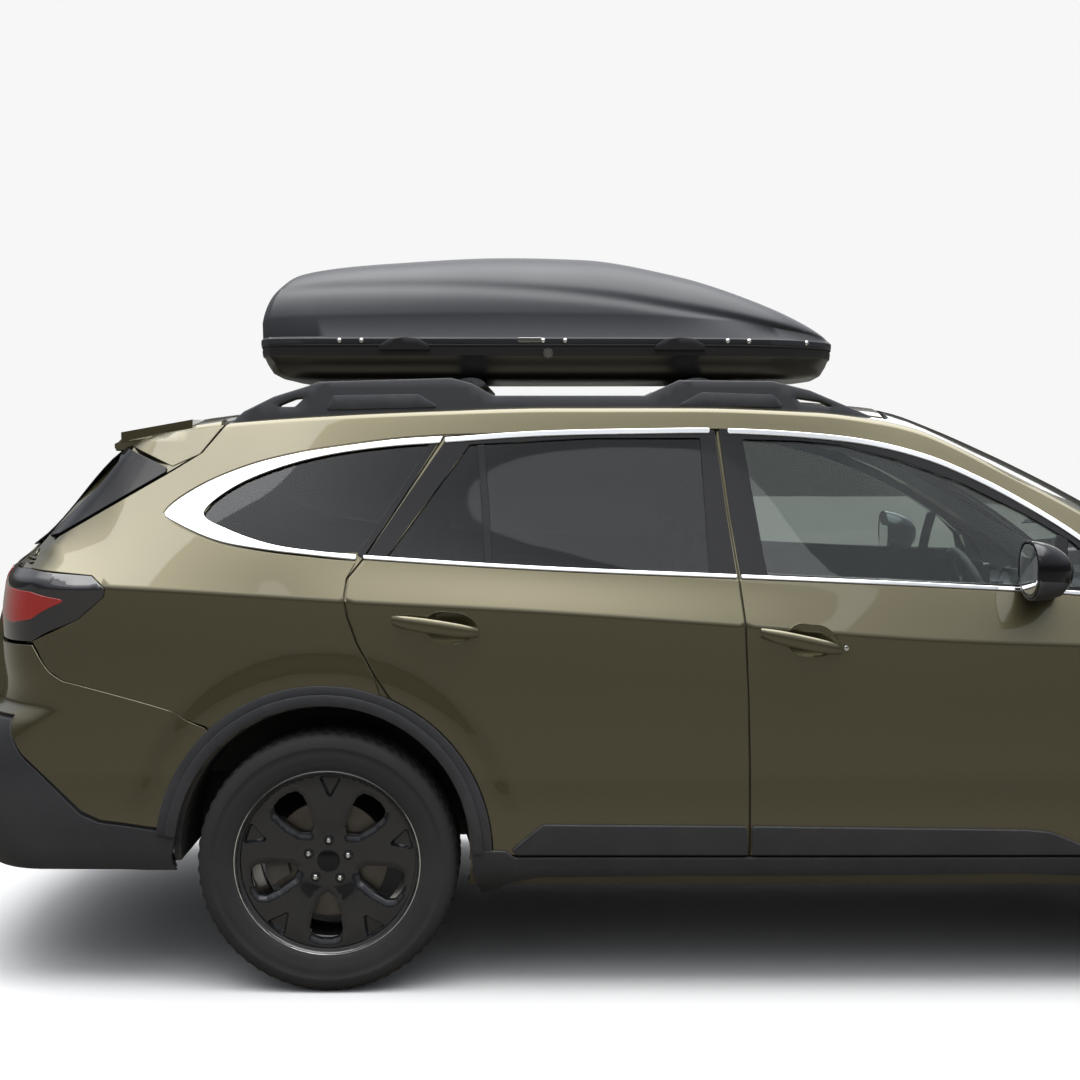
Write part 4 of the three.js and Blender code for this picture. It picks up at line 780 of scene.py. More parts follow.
DOOR_FRONT = [(908, 382), (922, 620), (935, 850), (938, 1000), (931, 1066)]
front_gap = shut(cut_below(DOOR_GAP, 1128), -GAP / 2)
rear_gap = shut(cut_below(DOOR_GAP, 1128), GAP / 2)
front_door_outline = [*front_gap, *DOOR_FRONT, *belt_run(925, front_gap[0][0] + 18)]
rear_door_outline = [*rear_gap, (-774, 384), *arc(REAR_ARCH, ARCH_R + ARCH_TRIM + 2, 0, 66, 14),
                     *reversed(shut(REAR_EDGE[3:], GAP / 2 - 4)), *belt_run(-1180, rear_gap[0][0] - 18)]
both("front_door_skin", pressed(front_door_outline, on_side, folds=crease), "front_door*", "paint")
both("rear_door_skin", pressed(rear_door_outline, on_side, folds=crease), "rear_door*", "paint")

# %% Wing, roof and bonnet
bonnet_side = curve(*BONNET_SIDE)


def wing_top(xs):
    xs = np.array(xs, float)
    return list(zip(xs, edge_z(xs) + edge_y(xs) + bonnet_side(xs) - GAP))


wing_outline = [(915, 386), *arc(FRONT_ARCH, ARCH_R + 44, 180, 44, 20), (1795, 700), (1984, 782),
                (1978, 869), (2086, 905), *reversed(wing_top(np.linspace(1138, 2070, 18))), (1142, 1078),
                (941, 1078), (944, 1000), (941, 850), (928, 620)]
both("wing_skin", pressed(wing_outline, on_wing, corner_radius=5, folds=crease + roof_edge), "body", "paint")
head_line = flow([(280, -561), (325, 0), (280, 561)], 30)
roof_outline = [(-1588, -597), (-900, -597), (-300, -597), *head_line, (-300, 597), (-1588, 597)]
show("roof_skin", pressed(roof_outline, on_roof, step=30), "body", "paint")
side_line = [(x, y) for x, y in BONNET_SIDE]
nose_line = flow([(2060, -640), (2200, -520), (2282, -300), (2306, 0), (2282, 300), (2200, 520), (2060, 640)], 30)
back_line = flow([(1132, 744), (1236, 420), (1272, 0), (1236, -420), (1132, -744)], 30)
bonnet_outline = [*side_line[:-1], *nose_line, *[(x, -y) for x, y in reversed(side_line[1:-1])], *back_line[:-1]]
show("bonnet_skin", pressed(bonnet_outline, on_bonnet, step=26), "bonnet", "paint")
print("painted panels so far:", len(PIECES))

# %% [markdown]
# ## Glass and the trim round it
# The panes sit a few millimetres below the paint, in black frames that belong to the doors, and a bright strip
# runs right round them. The rear panes are dyed dark in the melt, the front ones are only faintly green, and
# that is one number in the glass shader.

# %% Side windows
FRONT_WINDOW = [(-140, 1509), (21, 1504), (142, 1492), (302, 1450), (470, 1386), (640, 1300), (760, 1226),
                (822, 1165), (842, 1106), (383, 1121), (-88, 1143)]
REAR_WINDOW = [(-245, 1150), (-259, 1512), (-560, 1512), (-902, 1494), (-1125, 1186), (-842, 1164)]
PANE = {"lift": -4.5, "thick": 5.0, "edge": 0.8}
for door_name, outline, glass in (("front_door", FRONT_WINDOW, "clear_glass"),
                                  ("rear_door", REAR_WINDOW, "tinted_glass")):
    grown_outline = shifted(rounded(outline, 8, 40), -3 if area(np.array(outline)) > 0 else 3)
    both(f"{door_name}_pane", pressed(grown_outline, on_side, corner_radius=0, step=40, **PANE), door_name + "*",
         glass, stands_for=[door_name + "_glass"])
quarter_line = shifted(rounded(flow(QUARTER_GLASS, 20, closed=True), 0, 30), 3)
both("quarter_pane", pressed(quarter_line, on_side, corner_radius=0, step=40, **PANE), "body", "tinted_glass",
     stands_for=["quarter_glass"])

# %% Black window frames on the doors
front_frame = [*belt_run(front_gap[0][0] + 3, 926, 2), (900, 1128), (838, 1197), (756, 1261), (642, 1334),
               (529, 1396), (388, 1458), (219, 1502), (22, 1527), (-206, 1538), (-183, 1299)]
rear_frame = [(front_gap[0][0] - GAP - 3, 1131), (-192, 1299), (-218, 1535), (-398, 1534), (-706, 1527),
              (-968, 1510), (-1078, 1346), (-1176, 1196), *belt_run(-1172, -240, 2)]
BLACK = {"lift": 1.6, "thick": 2.4, "edge": 1.2}
both("front_window_frame", pressed(front_frame, on_side, holes=[FRONT_WINDOW], step=26, **BLACK), "front_door*",
     "gloss_black")
both("rear_window_frame", pressed(rear_frame, on_side, holes=[REAR_WINDOW], step=26, **BLACK), "rear_door*",
     "gloss_black")


# %% Strips: a line given a width on each side
def strip(line, left, right):
    p = np.array(line, float)
    way = np.gradient(p, axis=0)
    way /= np.linalg.norm(way, axis=1)[:, None]
    side = np.stack([-way[:, 1], way[:, 0]], 1)
    left, right = (np.broadcast_to(np.array(w, float), len(p))[:, None] for w in (left, right))
    return [tuple(q) for q in p + side * left] + [tuple(q) for q in (p - side * right)[::-1]]


CHROME = {"lift": 5.5, "thick": 5.0, "edge": 2.4, "corner_radius": 2, "step": 12}
top_line = flow(TRIM_TOP, 25)
front_top = [p for p in top_line if -206 < p[0] < 880]
rear_top = [p for p in top_line if p[0] < -220]
both("front_bright_top", pressed(strip(front_top, 0.5, 15), on_side, **CHROME), "front_door*", "bright_trim")
both("rear_bright_top", pressed(strip(rear_top, 0.5, 15), on_side, **CHROME), "rear_door*", "bright_trim")
both("front_bright_belt", pressed(strip(belt_run(front_gap[0][0] + 3, 900, 1), 11, 0), on_side, **CHROME),
     "front_door*", "bright_trim")
both("rear_bright_belt", pressed(strip(belt_run(-1188, rear_gap[0][0] - 3, 1), 11, 0), on_side, **CHROME),
     "rear_door*", "bright_trim")
quarter_outer = flow(QUARTER_BRIGHT, 16)
quarter_inner = flow([(-1206, 1195), (-1305, 1203), (-1441, 1223), (-1564, 1263), (-1632, 1303), (-1559, 1372),
                      (-1432, 1428), (-1292, 1464), (-1125, 1487), (-985, 1497)], 16)
both("quarter_bright", pressed([*quarter_outer, *quarter_inner], on_side, **CHROME), "body", "bright_trim")

# %% Dividing bars and the fixed panes' edges
bar_rear = strip([(-846, 1170), (-857, 1330), (-872, 1494)], 11, 11)
bar_front = strip([(735, 1243), (724, 1170), (719, 1106)], 17, 17)
both("rear_window_bar", pressed(bar_rear, on_side, lift=0.5, thick=8, edge=2, corner_radius=2), "rear_door*",
     "gloss_black")
both("front_window_bar", pressed(bar_front, on_side, lift=0.5, thick=8, edge=2, corner_radius=2), "front_door*",
     "gloss_black")
pillar_edge = strip([(-1000, 1502), (-1095, 1346), (-1196, 1190)], 9, 10)
both("quarter_front_edge", pressed(pillar_edge, on_side, lift=1.2, thick=7, edge=1.5, corner_radius=2), "body",
     "gloss_black")
print("glass and trim:", len(PIECES), "pieces so far")

# %% [markdown]
# ## Wheels
# A cast alloy wheel is a barrel with a face: five broad spokes that fork at the rim, with a pocket in each fork
# and a window between each pair. The face is one plate with rounded edges, dished like the real casting. The
# tyre is a profile turned round the axle, with its tread blocks cut in by lowering rows of points.

# %% Turned, swept and joined shapes
def turned(profile, count=96, radius_at=None):
    """A closed profile of (radius, y) turned round the Y axis. radius_at may change a radius at an angle."""
    profile = np.array(profile, float)
    angles = np.arange(count) * 2 * math.pi / count
    rings = []
    for i, a in enumerate(angles):
        r = profile[:, 0] if radius_at is None else radius_at(profile, i)
        rings.append(np.stack([r * math.cos(a), profile[:, 1], r * math.sin(a)], 1))
    n = len(profile)
    here = np.arange(n)
    ahead = (here + 1) % n
    faces = []
    for i in range(count):
        a, b = i * n, ((i + 1) % count) * n
        faces.append(np.stack([here + a, here + b, ahead + b], 1))
        faces.append(np.stack([here + a, ahead + b, ahead + a], 1))
    faces = np.concatenate(faces)
    return outward(np.concatenate(rings), faces)


def outward(points, faces):
    """Turns all triangles round if the closed shape they make has its inside out."""
    a, b, c = (points[faces[:, k]] for k in range(3))
    volume = np.einsum("ij,ij->i", a, np.cross(b, c)).sum()
    return points, faces if volume > 0 else faces[:, ::-1], None


def swept(path, radius, sides=12, closed=False):
    """A round tube along a path; radius may be one number or one for each point."""
    p = np.array(path, float)
    n = len(p)
    way = np.roll(p, -1, 0) - np.roll(p, 1, 0) if closed else np.gradient(p, axis=0)
    way /= np.linalg.norm(way, axis=1)[:, None]
    up = np.array([0.13, 0.97, 0.21]) if abs(way[0] @ (0, 0, 1)) > 0.7 else np.array([0.02, 0.05, 1.0])
    one = np.cross(way, up)
    one /= np.linalg.norm(one, axis=1)[:, None]
    two = np.cross(way, one)
    r = np.broadcast_to(np.array(radius, float), n)[:, None, None]
    a = np.arange(sides) * 2 * math.pi / sides
    rings = p[:, None] + r * (one[:, None] * np.cos(a)[None, :, None] + two[:, None] * np.sin(a)[None, :, None])
    return lofted(rings, closed)


def lofted(rings, closed=False):
    """A closed shape through rings that all have the same count of points, capped unless it closes on itself."""
    rings = np.array(rings, float)
    n, sides = rings.shape[:2]
    here = np.arange(sides)
    ahead = (here + 1) % sides
    faces = []
    for i in range(n if closed else n - 1):
        a, b = i * sides, ((i + 1) % n) * sides
        faces += [np.stack([here + a, here + b, ahead + b], 1), np.stack([here + a, ahead + b, ahead + a], 1)]
    points = rings.reshape(-1, 3)
    if not closed:
        points = np.concatenate([points, rings[[0, -1]].mean(1)])
        first, last = n * sides, n * sides + 1
        a = (n - 1) * sides
        faces += [np.stack([ahead, np.full(sides, first), here], 1),
                  np.stack([here + a, np.full(sides, last), ahead + a], 1)]
    return outward(points, np.concatenate(faces))


def joined(*shapes):
    points, faces, start = [], [], 0
    for p, f, _ in shapes:
        points.append(p)
        faces.append(np.array(f) + start)
        start += len(p)
    return np.concatenate(points), np.concatenate(faces), None


def placed(shape, move=(0, 0, 0), turn=None):
    points, faces, normals = shape
    if turn is not None:
        rotation = np.array(Matrix.Rotation(math.radians(turn[1]), 3, turn[0]))
        points = points @ rotation.T
        normals = None if normals is None else normals @ rotation.T
    return points + np.array(move, float), faces, normals


def flat_plate(plane, at, facing):
    """A surface for pressed(): plane is "xz", "yz" or "xy", at the height of the third coordinate."""
    order = {"xz": (0, 2, 1), "yz": (1, 2, 0), "xy": (0, 1, 2)}[plane]

    def surface(u, v):
        p = np.zeros((len(u), 3))
        p[:, order[0]], p[:, order[1]], p[:, order[2]] = u, v, at
        return p
    return surface, facing


def block(outline, plane, low, high, edge=1.5, step=40, holes=(), corner_radius=4):
    """A solid with an outline in a plane, from low to high on the third axis, with its front edge rounded."""
    facing = {"xz": (0, 1, 0), "yz": (1, 0, 0), "xy": (0, 0, 1)}[plane]
    sign = 1 if high > low else -1
    surface, _ = flat_plate(plane, high, facing)
    data = pressed(outline, surface, holes, lift=0, thick=abs(high - low), edge=edge, step=step,
                   corner_radius=corner_radius, facing=tuple(sign * f for f in facing))
    return data


# %% Wheel face
SPOKES = [88 - 72 * i for i in range(5)]
RIM_R = 246
TYRE_R = 358
TRACKS = {"front": (1460, 1590), "rear": (-1285, 1600)}
dish = curve((0, 70), (62, 71), (120, 80), (200, 86), (246, 84))


def wheel_face(u, v):
    return np.stack([u, -dish(np.hypot(u, v)), v], 1)


def polar(points, angle):
    """Points given as (radius, sideways) turned to an angle in degrees."""
    a = math.radians(angle)
    return [(r * math.cos(a) - t * math.sin(a), r * math.sin(a) + t * math.cos(a)) for r, t in points]


WINDOW = [(84, 0), (102, 22), (150, 39), (188, 45), (208, 38), (216, 14), (216, -14), (208, -38), (188, -45),
          (150, -39), (102, -22)]
POCKET, POCKET_FLOOR = [(170, 0), (236, 33), (236, -33)], [(184, 0), (230, 23), (230, -23)]
wheel_windows = [rounded(polar(WINDOW, a + 36), 9, 7) for a in SPOKES]
pockets = [rounded(polar(POCKET, a), 5, 6) for a in SPOKES]
bevels = [shifted(w if area(w) > 0 else w[::-1], -13) for w in wheel_windows]
pocket_floors = [rounded(polar(POCKET_FLOOR, a), 3, 6) for a in SPOKES]


def distance_to(loops, uv):
    """Least distance from each point to any of the closed loops, and whether it is inside one."""
    best, within = np.full(len(uv), 1e9), np.zeros(len(uv), bool)
    for loop in loops:
        a = loop
        d = np.roll(loop, -1, 0) - a
        t = np.clip(np.einsum("pij,ij->pi", uv[:, None] - a[None], d) / (np.einsum("ij,ij->i", d, d) + 1e-9), 0, 1)
        best = np.minimum(best, np.linalg.norm(uv[:, None] - (a[None] + t[..., None] * d[None]), axis=2).min(1))
        within |= inside(uv, loop)
    return best, within


def face_height(uv):
    to_window, _ = distance_to(wheel_windows, uv)
    to_pocket, in_pocket = distance_to(pockets, uv)
    bevel = -9 * np.clip(1 - to_window / 13, 0, 1)
    return bevel - 13 * np.clip(to_pocket / 6, 0, 1) * in_pocket


circle = [(RIM_R * math.cos(a), RIM_R * math.sin(a)) for a in np.linspace(0, 2 * math.pi, 120, endpoint=False)]
close = [np.vstack([line, line[:1]]) for line in [*pockets, *pocket_floors, *bevels]]
face = pressed(circle, wheel_face, holes=wheel_windows, lift=0, thick=26, edge=3, corner_radius=0, step=8,
               crown=face_height, folds=close, facing=(0, -1, 0))

# %% Barrel, nuts, cap and brake disc
barrel = turned([(256, -92), (255, -99), (250, -101), (246, -98), (243, -88), (238, -80), (236, -66), (214, -50),
                 (206, 30), (208, 62), (230, 84), (240, 98), (250, 100), (254, 94), (246, 84), (238, 78), (218, 58),
                 (216, -36), (240, -62), (246, -78)], 120)
nut_places = [polar([(57, 0)], a)[0] for a in SPOKES]
nuts = [placed(turned([(0.5, -10), (5, -9.5), (8, -6), (9.5, -1), (9.5, 12), (0.5, 12)], 6), (x, -72, z))
        for x, z in nut_places]
seats = [placed(turned([(13, 0), (13.5, -2.5), (12, -3), (11, 0), (11, 5), (13, 5)], 24), (x, -70.5, z))
         for x, z in nut_places]
cap = turned([(0.5, -9), (18, -8.5), (29, -6), (31, -2), (31, 8), (0.5, 8)], 48)
disc = turned([(64, -40), (160, -40), (161, -38), (161, -18), (160, -16), (64, -16)], 72)
hat = turned([(0.5, -46), (70, -46), (74, -42), (74, -20), (0.5, -20)], 48)
caliper_outline = [*arc((0, 0), 176, 140, 205, 10), *reversed(arc((0, 0), 112, 144, 201, 10))]
caliper = block(caliper_outline, "xz", 6, -60, edge=2.5, corner_radius=9)


# %% Tyre with its tread
PITCHES, COLUMNS = 60, 4
GROOVES = ((22, 5), (60, 4.5))
TREAD_DEPTH = 7.5
tread_r = curve((0, 358), (60, 357.5), (88, 354.5), (104, 344))


def tyre_profile():
    """(radius, y, kind) round the section: kind 0 is smooth, 1 a centre rib, 2 a shoulder block, 3 a groove."""
    stations = []
    for centre, half in GROOVES:
        stations += [(centre - half, 1), (centre - half + 1, 3), (centre + half - 1, 3), (centre + half, 1)]
    tread = [(0, 1), (10, 1), *stations, (74, 2), (88, 2), (97, 2), (104, 2)]
    tread = [(y, 2 if y > 62 and kind == 1 else kind) for y, kind in tread]
    half = [(float(tread_r(y)), y, kind) for y, kind in tread]
    wall = [(336, 108.5, 0), (322, 111.5, 0), (316, 111.8, 0), (314, 110.6, 0), (300, 111.5, 0), (284, 110.5, 0),
            (270, 106.5, 0), (262, 105.5, 0), (256, 101, 0), (248, 97, 0), (240, 92, 0)]
    right = [*half, *wall]
    left = [(r, -y, kind) for r, y, kind in reversed(right)]
    return [*left[:-1], *right]


PROFILE = tyre_profile()
KINDS = np.array([kind for _, _, kind in PROFILE])


def tread_radius(profile, i):
    step_in_pitch = i % COLUMNS
    y = profile[:, 1]
    late = (np.abs(y) < 18) | ((np.abs(y) > 26) & (np.abs(y) < 57))
    cut = np.where(late, step_in_pitch in (2, 3), step_in_pitch in (0, 1))
    depth = np.where(KINDS == 3, TREAD_DEPTH, 0.0)
    depth = np.where((KINDS == 1) & cut & (np.abs(y) > 12), 4.5, depth)
    depth = np.where((KINDS == 2) & (step_in_pitch in (0, 1)) & (np.abs(y) < 90), 4.0, depth)
    return profile[:, 0] - depth


def pitch_angles(count):
    """Columns of the tyre, bunched so that the cuts between the blocks are narrow."""
    shares = np.array([0.0, 0.16, 0.45, 0.61])
    return np.concatenate([(k + shares) / count for k in range(count)]) * 2 * math.pi


def make_tyre():
    section = np.array([(r, y) for r, y, _ in PROFILE])
    angles = pitch_angles(PITCHES)
    rings = []
    for i, a in enumerate(angles):
        r = tread_radius(section, i)
        rings.append(np.stack([r * math.cos(a), section[:, 1], r * math.sin(a)], 1))
    return lofted(rings, closed=True)


tyre = make_tyre()
print("tyre:", len(tyre[1]), "triangles; wheel face:", len(face[1]))

# %% Set all four wheels
for end, (axle_x, track) in TRACKS.items():
    hub = (axle_x, -track / 2, TYRE_R)
    wheel_body = f"wheel_{end}*"
    carrier = "knuckle*" if end == "front" else "body"
    both(f"tyre_{end}_tread", placed(tyre, hub), wheel_body, "tyre", stands_for=[f"tyre_{end}"])
    both(f"wheel_{end}_face", placed(joined(face, barrel), hub), wheel_body, "wheel", stands_for=[f"rim_{end}"])
    edge_ring = turned([(255.5, -99), (254, -101.6), (252, -102), (251, -100.5), (253, -99)], 120)
    both(f"wheel_{end}_bright_edge", placed(edge_ring, hub), wheel_body, "bright_trim")
    both(f"wheel_{end}_nuts", placed(joined(*nuts), hub), wheel_body, "bright_trim")
    both(f"wheel_{end}_seats", placed(joined(*seats, placed(cap, (0, -68, 0))), hub), wheel_body, "gloss_black",
         "wheel")
    both(f"brake_disc_{end}", placed(joined(disc, hat), hub), wheel_body, "brake_steel")
    both(f"brake_caliper_{end}", placed(caliper, (hub[0], hub[1], hub[2])), carrier, "chassis")
print("wheels done:", len(PIECES), "pieces so far")

# %% [markdown]
# ## Black cladding, bumpers and lamps
# The lower edge of the car wears thick grained plastic that is clipped over the metal: a band round each arch,
# a sill, a strip along each door and the lower half of both bumpers. It stands several millimetres proud of the
# paint, so each piece is pressed from the same body surface with more lift and a rounder edge.

# %% Arch bands, sill and door strips
def band(centre, inner, outer, start, end):
    return [*arc(centre, inner, start, end, 40), *reversed(arc(centre, outer, start, end, 40))]


PLASTIC = {"thick": 14, "edge": 4, "corner_radius": 10, "step": 24}
for label, centre, start, end in (("rear", REAR_ARCH, 0, 174), ("front", FRONT_ARCH, 4, 180)):
    outer = pressed(band(centre, 424, 458, start, end), on_side, lift=9, **PLASTIC)
    inner = pressed(band(centre, 403, 434, start, end), on_side, lift=14, **PLASTIC)
    both(f"arch_band_{label}", joined(outer, inner), "body", "cladding")
sill = [(-842, 268), (-800, 300), (-714, 322), (-345, 327), (50, 327), (591, 333), (990, 318), (1046, 340),
        (1047, 379), (-774, 379), (-800, 398), (-890, 400), (-888, 330), (-866, 268)]
both("sill_cover", pressed(sill, on_side, lift=10, **PLASTIC), "body", "cladding")
rear_strip = [(-768, 385), (-784, 399), (-698, 469), (-146, 465), (-142, 385)]
front_strip = [(-133, 385), (-133, 465), (612, 455), (677, 448), (756, 416), (880, 410), (906, 400), (905, 385)]
both("rear_door_strip", pressed(rear_strip, on_side, lift=12, **PLASTIC), "rear_door*", "cladding")
both("front_door_strip", pressed(front_strip, on_side, lift=12, **PLASTIC), "front_door*", "cladding")


def arch_liner(centre, depth):
    """The inside of a wheel arch: a shell a little smaller than the opening, open towards the wheel."""
    rings = []
    for a in np.radians(np.linspace(-4, 184, 48)):
        rings.append([(centre[0] + r * math.cos(a), -y, centre[1] + r * math.sin(a))
                      for r, y in ((395, 872), (414, 872), (414, depth), (395, depth))])
    return lofted(rings)


for label, centre, depth in (("rear", REAR_ARCH, 575), ("front", FRONT_ARCH, 445)):
    wall = [*arc(centre, 396, -4, 184, 40)]
    shell = arch_liner(centre, depth)
    inner = pressed(wall, lambda x, z, d=depth: np.stack([x, 0 * x - d, z], 1), lift=0, thick=4, edge=1, step=60)
    both(f"arch_liner_{label}", joined(shell, inner), "body", "underbody")

# %% Rear bumper: black below, painted corners above
def mirrored_outline(right):
    return [*right, *[(-s, z) for s, z in reversed(right)]]


corner_edge = [(-1700, 440), (-1753, 450), (-1907, 468), (-1958, 491), (-2146, 745)]
black_rear = tail_points([(-1694, 338), (-1694, 430), *corner_edge[1:]])
show("rear_bumper_lower", pressed(mirrored_outline([(-100, 332), *black_rear, (-330, 745)]), on_tail, lift=5,
                                  thick=6, edge=3, step=34), "body", "cladding", stands_for=["rear_bumper"])
painted_corner = [*tail_points([(x + 6, z + 8) for x, z in corner_edge]), (-326, 752), (-326, 945),
                  *tail_points([(-2083, 952), (-2038, 881), (-2001, 855), (-1615, 731)]),
                  *[tuple(p) for p in tail_points([q for q in arc(REAR_ARCH, ARCH_R + 50, 133, 168, 8)])]]
both("rear_bumper_corner", pressed(painted_corner, on_tail, lift=6, thick=6, step=22), "body", "paint")
back_right = [(-100, 338), *tail_points([(-1694, 345), *arc(REAR_ARCH, ARCH_R + 4, 174, 133, 12), (-1620, 728),
                                         (-2003, 850), (-2040, 876), (-2085, 944)]), (-326, 944), (-326, 748)]
show("rear_bumper_back", pressed(mirrored_outline(back_right), on_tail, lift=-3, thick=5, edge=1, step=36), "body",
     "cladding")
skid = [(-300, 336), (-262, 440), (262, 440), (300, 336)]
show("rear_skid_plate", pressed(skid, on_tail, lift=12, thick=8, edge=4), "body", "rail_plastic")
reflector = [(-520, 560), (-400, 572), (-400, 598), (-520, 586)]
both("rear_reflector", pressed(reflector, on_tail, lift=8, thick=5, edge=1.5), "body", "tail_lamp_lens")

# %% Tail lamps: smoked housing, a red insert and a thin red edge
lamp = [*tail_points(LAMP_OUTLINE), (-324, 954), (-324, 1154)]
both("tail_lamp_cover", pressed(lamp, on_tail, lift=3, thick=8, edge=3, step=18), "body", "lamp_smoke",
     stands_for=["tail_lamp"])
insert = [*tail_points([(-1985, 1075), (-2085, 1097), (-2150, 1100)]), (-345, 1100), (-345, 1020),
          *tail_points([(-2150, 1008), (-2085, 1022)])]
both("tail_lamp_insert", pressed(insert, on_tail, lift=4.5, thick=4, edge=1.5, step=18), "body", "tail_lamp_lens")
red_edge = [(-344, 975), (-330, 975), (-330, 1145), (-344, 1145)]
both("tail_lamp_edge", pressed(red_edge, on_tail, lift=5, thick=4, edge=1.5), "body", "tail_lamp_lens")

# %% Tailgate: lower panel, lamp bar, blank plate
gate_wing = tail_points([(-2106, 1186)])[0]
gate = mirrored_outline([(-316, 756), (-316, 1168), (-330, 1186), gate_wing, (gate_wing[0] + 8, 1206)])
show("tailgate_skin", pressed(gate, on_tail, step=26), "tailgate", "paint")
gate_lamp = [(-316, 985), (-316, 1148), (-150, 1128), (-118, 1086), (-150, 1040)]
both("tailgate_lamp", pressed(gate_lamp, on_tail, lift=6, thick=6, edge=2), "tailgate", "lamp_smoke")
gate_insert = [(-306, 1030), (-306, 1098), (-190, 1094), (-160, 1078), (-190, 1052)]
both("tailgate_lamp_insert", pressed(gate_insert, on_tail, lift=7.5, thick=4, edge=1.5), "tailgate",
     "tail_lamp_lens")
show("tailgate_bar", pressed([(-150, 1002), (150, 1002), (156, 1034), (-156, 1034)], on_tail, lift=12, thick=14,
                             edge=3), "tailgate", "gloss_black")
show("rear_plate", pressed([(-142, 850), (142, 850), (142, 962), (-142, 962)], on_tail, lift=8, thick=4,
                           edge=1.5), "tailgate", "plate")


# %% Rear window, fins and spoiler
def on_hatch(y, z):
    """The sloping rear window: the place along the car where its surface has this height."""
    low, high = np.full(len(y), -2262.0), np.full(len(y), -1600.0)
    for _ in range(30):
        middle = (low + high) / 2
        under = crown_z(middle, y) < z
        low, high = np.where(under, middle, low), np.where(under, high, middle)
    return np.stack([(low + high) / 2, y, z], 1)


hatch_glass = [(-556, 1458), (556, 1458), (592, 1320), (618, 1220), (-618, 1220), (-592, 1320)]
hatch_frame = [(-585, 1482), (585, 1482), (618, 1330), (652, 1212), (-652, 1212), (-618, 1330)]
show("tailgate_frame", pressed(hatch_frame, on_hatch, holes=[hatch_glass], lift=1.8, thick=3, edge=1.2, step=34),
     "tailgate", "gloss_black")
show("tailgate_pane", pressed(hatch_glass, on_hatch, lift=0.5, thick=5, edge=0.8, step=40), "tailgate",
     "tinted_glass", stands_for=["tailgate_glass"])
fin = [(-1890, 1488), (-1750, 1428), (-1752, 1414), (-2036, 1244), (-2074, 1236), (-2074, 1246), (-1945, 1374),
       (-1897, 1440)]
both("tailgate_fin", pressed(fin, on_side, lift=7, thick=10, edge=1.6, corner_radius=4),
     "tailgate", "gloss_black")
gate_shoulder = [(-1602, 1545), (-1661, 1466), (-1736, 1432), (-1880, 1496), (-1868, 1512), (-1740, 1530)]
both("tailgate_shoulder", pressed(gate_shoulder, on_side, lift=2.6, thick=5), "tailgate", "paint")
blade = [(-1604, 1588), (-1700, 1576), (-1820, 1556), (-1924, 1534), (-1962, 1522), (-1972, 1512), (-1966, 1502),
         (-1930, 1500), (-1880, 1502), (-1790, 1524), (-1700, 1542), (-1604, 1560)]


def blade_ring(y, shrink):
    """One section of the spoiler; its tail sweeps forward and droops towards the ends."""
    x, z = np.array(blade).T
    far = abs(y) / 590
    reach = np.clip((-1604 - x) / 368, 0, 1)
    x = x + reach * (14 + 48 * far**3) - 14
    middle = z.mean()
    return np.stack([x, np.full(len(x), y), middle + (z - middle) * shrink - 30 * far**2.3 + 2], 1)


sections = [(-596, 0.45), (-592, 0.8), (-584, 0.96), *[(y, 1.0) for y in np.linspace(-570, 570, 23)], (584, 0.96),
            (592, 0.8), (596, 0.45)]
show("spoiler", lofted([blade_ring(y, k) for y, k in sections]), "tailgate", "paint")
brake_light = flow([(-1966, -150), (-1970, 0), (-1966, 150)], 40)
show("high_brake_light", swept([(x, y, 1508) for x, y in brake_light], 5), "tailgate",
     "tail_lamp_lens")

# %% Front bumper, grille and headlamps
bumper_top = [(1810, 704), (1986, 780), (2046, 790)]
nose_right = [*nose_points([(1900, 566), *arc(FRONT_ARCH, ARCH_R + 50, 26, 39, 5)]), *nose_points(bumper_top),
              (-468, 766), (-468, 868), (-440, 884)]
grille_hole = [(-404, 858), (404, 858), (434, 742), (352, 606), (-352, 606), (-434, 742)]
show("front_bumper_upper", pressed(mirrored_outline(nose_right), on_nose, holes=[grille_hole], step=30), "body",
     "paint")
black_front = [(-60, 318), *nose_points([(1862, 338), (1868, 480), (1890, 556)]), (-60, 556)]
show("front_bumper_lower", pressed(mirrored_outline(black_front[:-1] + [(-300, 556)]), on_nose, lift=5, thick=6,
                                   edge=3, step=36), "body", "cladding")
front_skid = [(-330, 326), (-280, 430), (280, 430), (330, 326)]
show("front_skid_plate", pressed(front_skid, on_nose, lift=12, thick=8, edge=4), "body", "rail_plastic")
bars = [pressed([(-r, z - 7), (r, z - 7), (r + 4, z + 7), (-r - 4, z + 7)], on_nose, lift=1, thick=10, edge=3,
                step=40) for z, r in ((632, 366), (666, 384), (700, 404), (734, 422), (768, 420), (802, 410),
                                      (836, 402))]
show("grille_bars", joined(*bars), "body", "gloss_black")
grille_wing = strip(flow([(-398, 866), (-436, 744), (-356, 604), (0, 598), (356, 604), (436, 744), (398, 866)],
                         24), 7, 7)
show("grille_surround", pressed(grille_wing, on_nose, lift=7, thick=8, edge=2.5, step=24), "body", "bright_trim")
show("front_plate", pressed([(-200, 470), (200, 470), (200, 540), (-200, 540)], on_nose, lift=16, thick=12,
                            edge=2), "body", "plate")
fog = [(-760, 470), (-640, 480), (-640, 545), (-770, 540)]
both("fog_lamp_bezel", pressed(fog, on_nose, lift=8, thick=8, edge=3), "body", "gloss_black")
head_outline = [*nose_points([(1977, 867), (2047, 801), (2190, 777)]), (-464, 774), (-464, 866),
                *nose_points([(2210, 880), (2090, 896)])]
both("headlamp_lens", pressed(head_outline, on_nose, lift=2.4, thick=4, edge=1.5, step=24), "body",
     "headlamp_lens", stands_for=["headlamp"])
both("headlamp_housing", pressed(head_outline, on_nose, lift=-34, thick=4, edge=1, step=30), "body", "lamp_smoke")
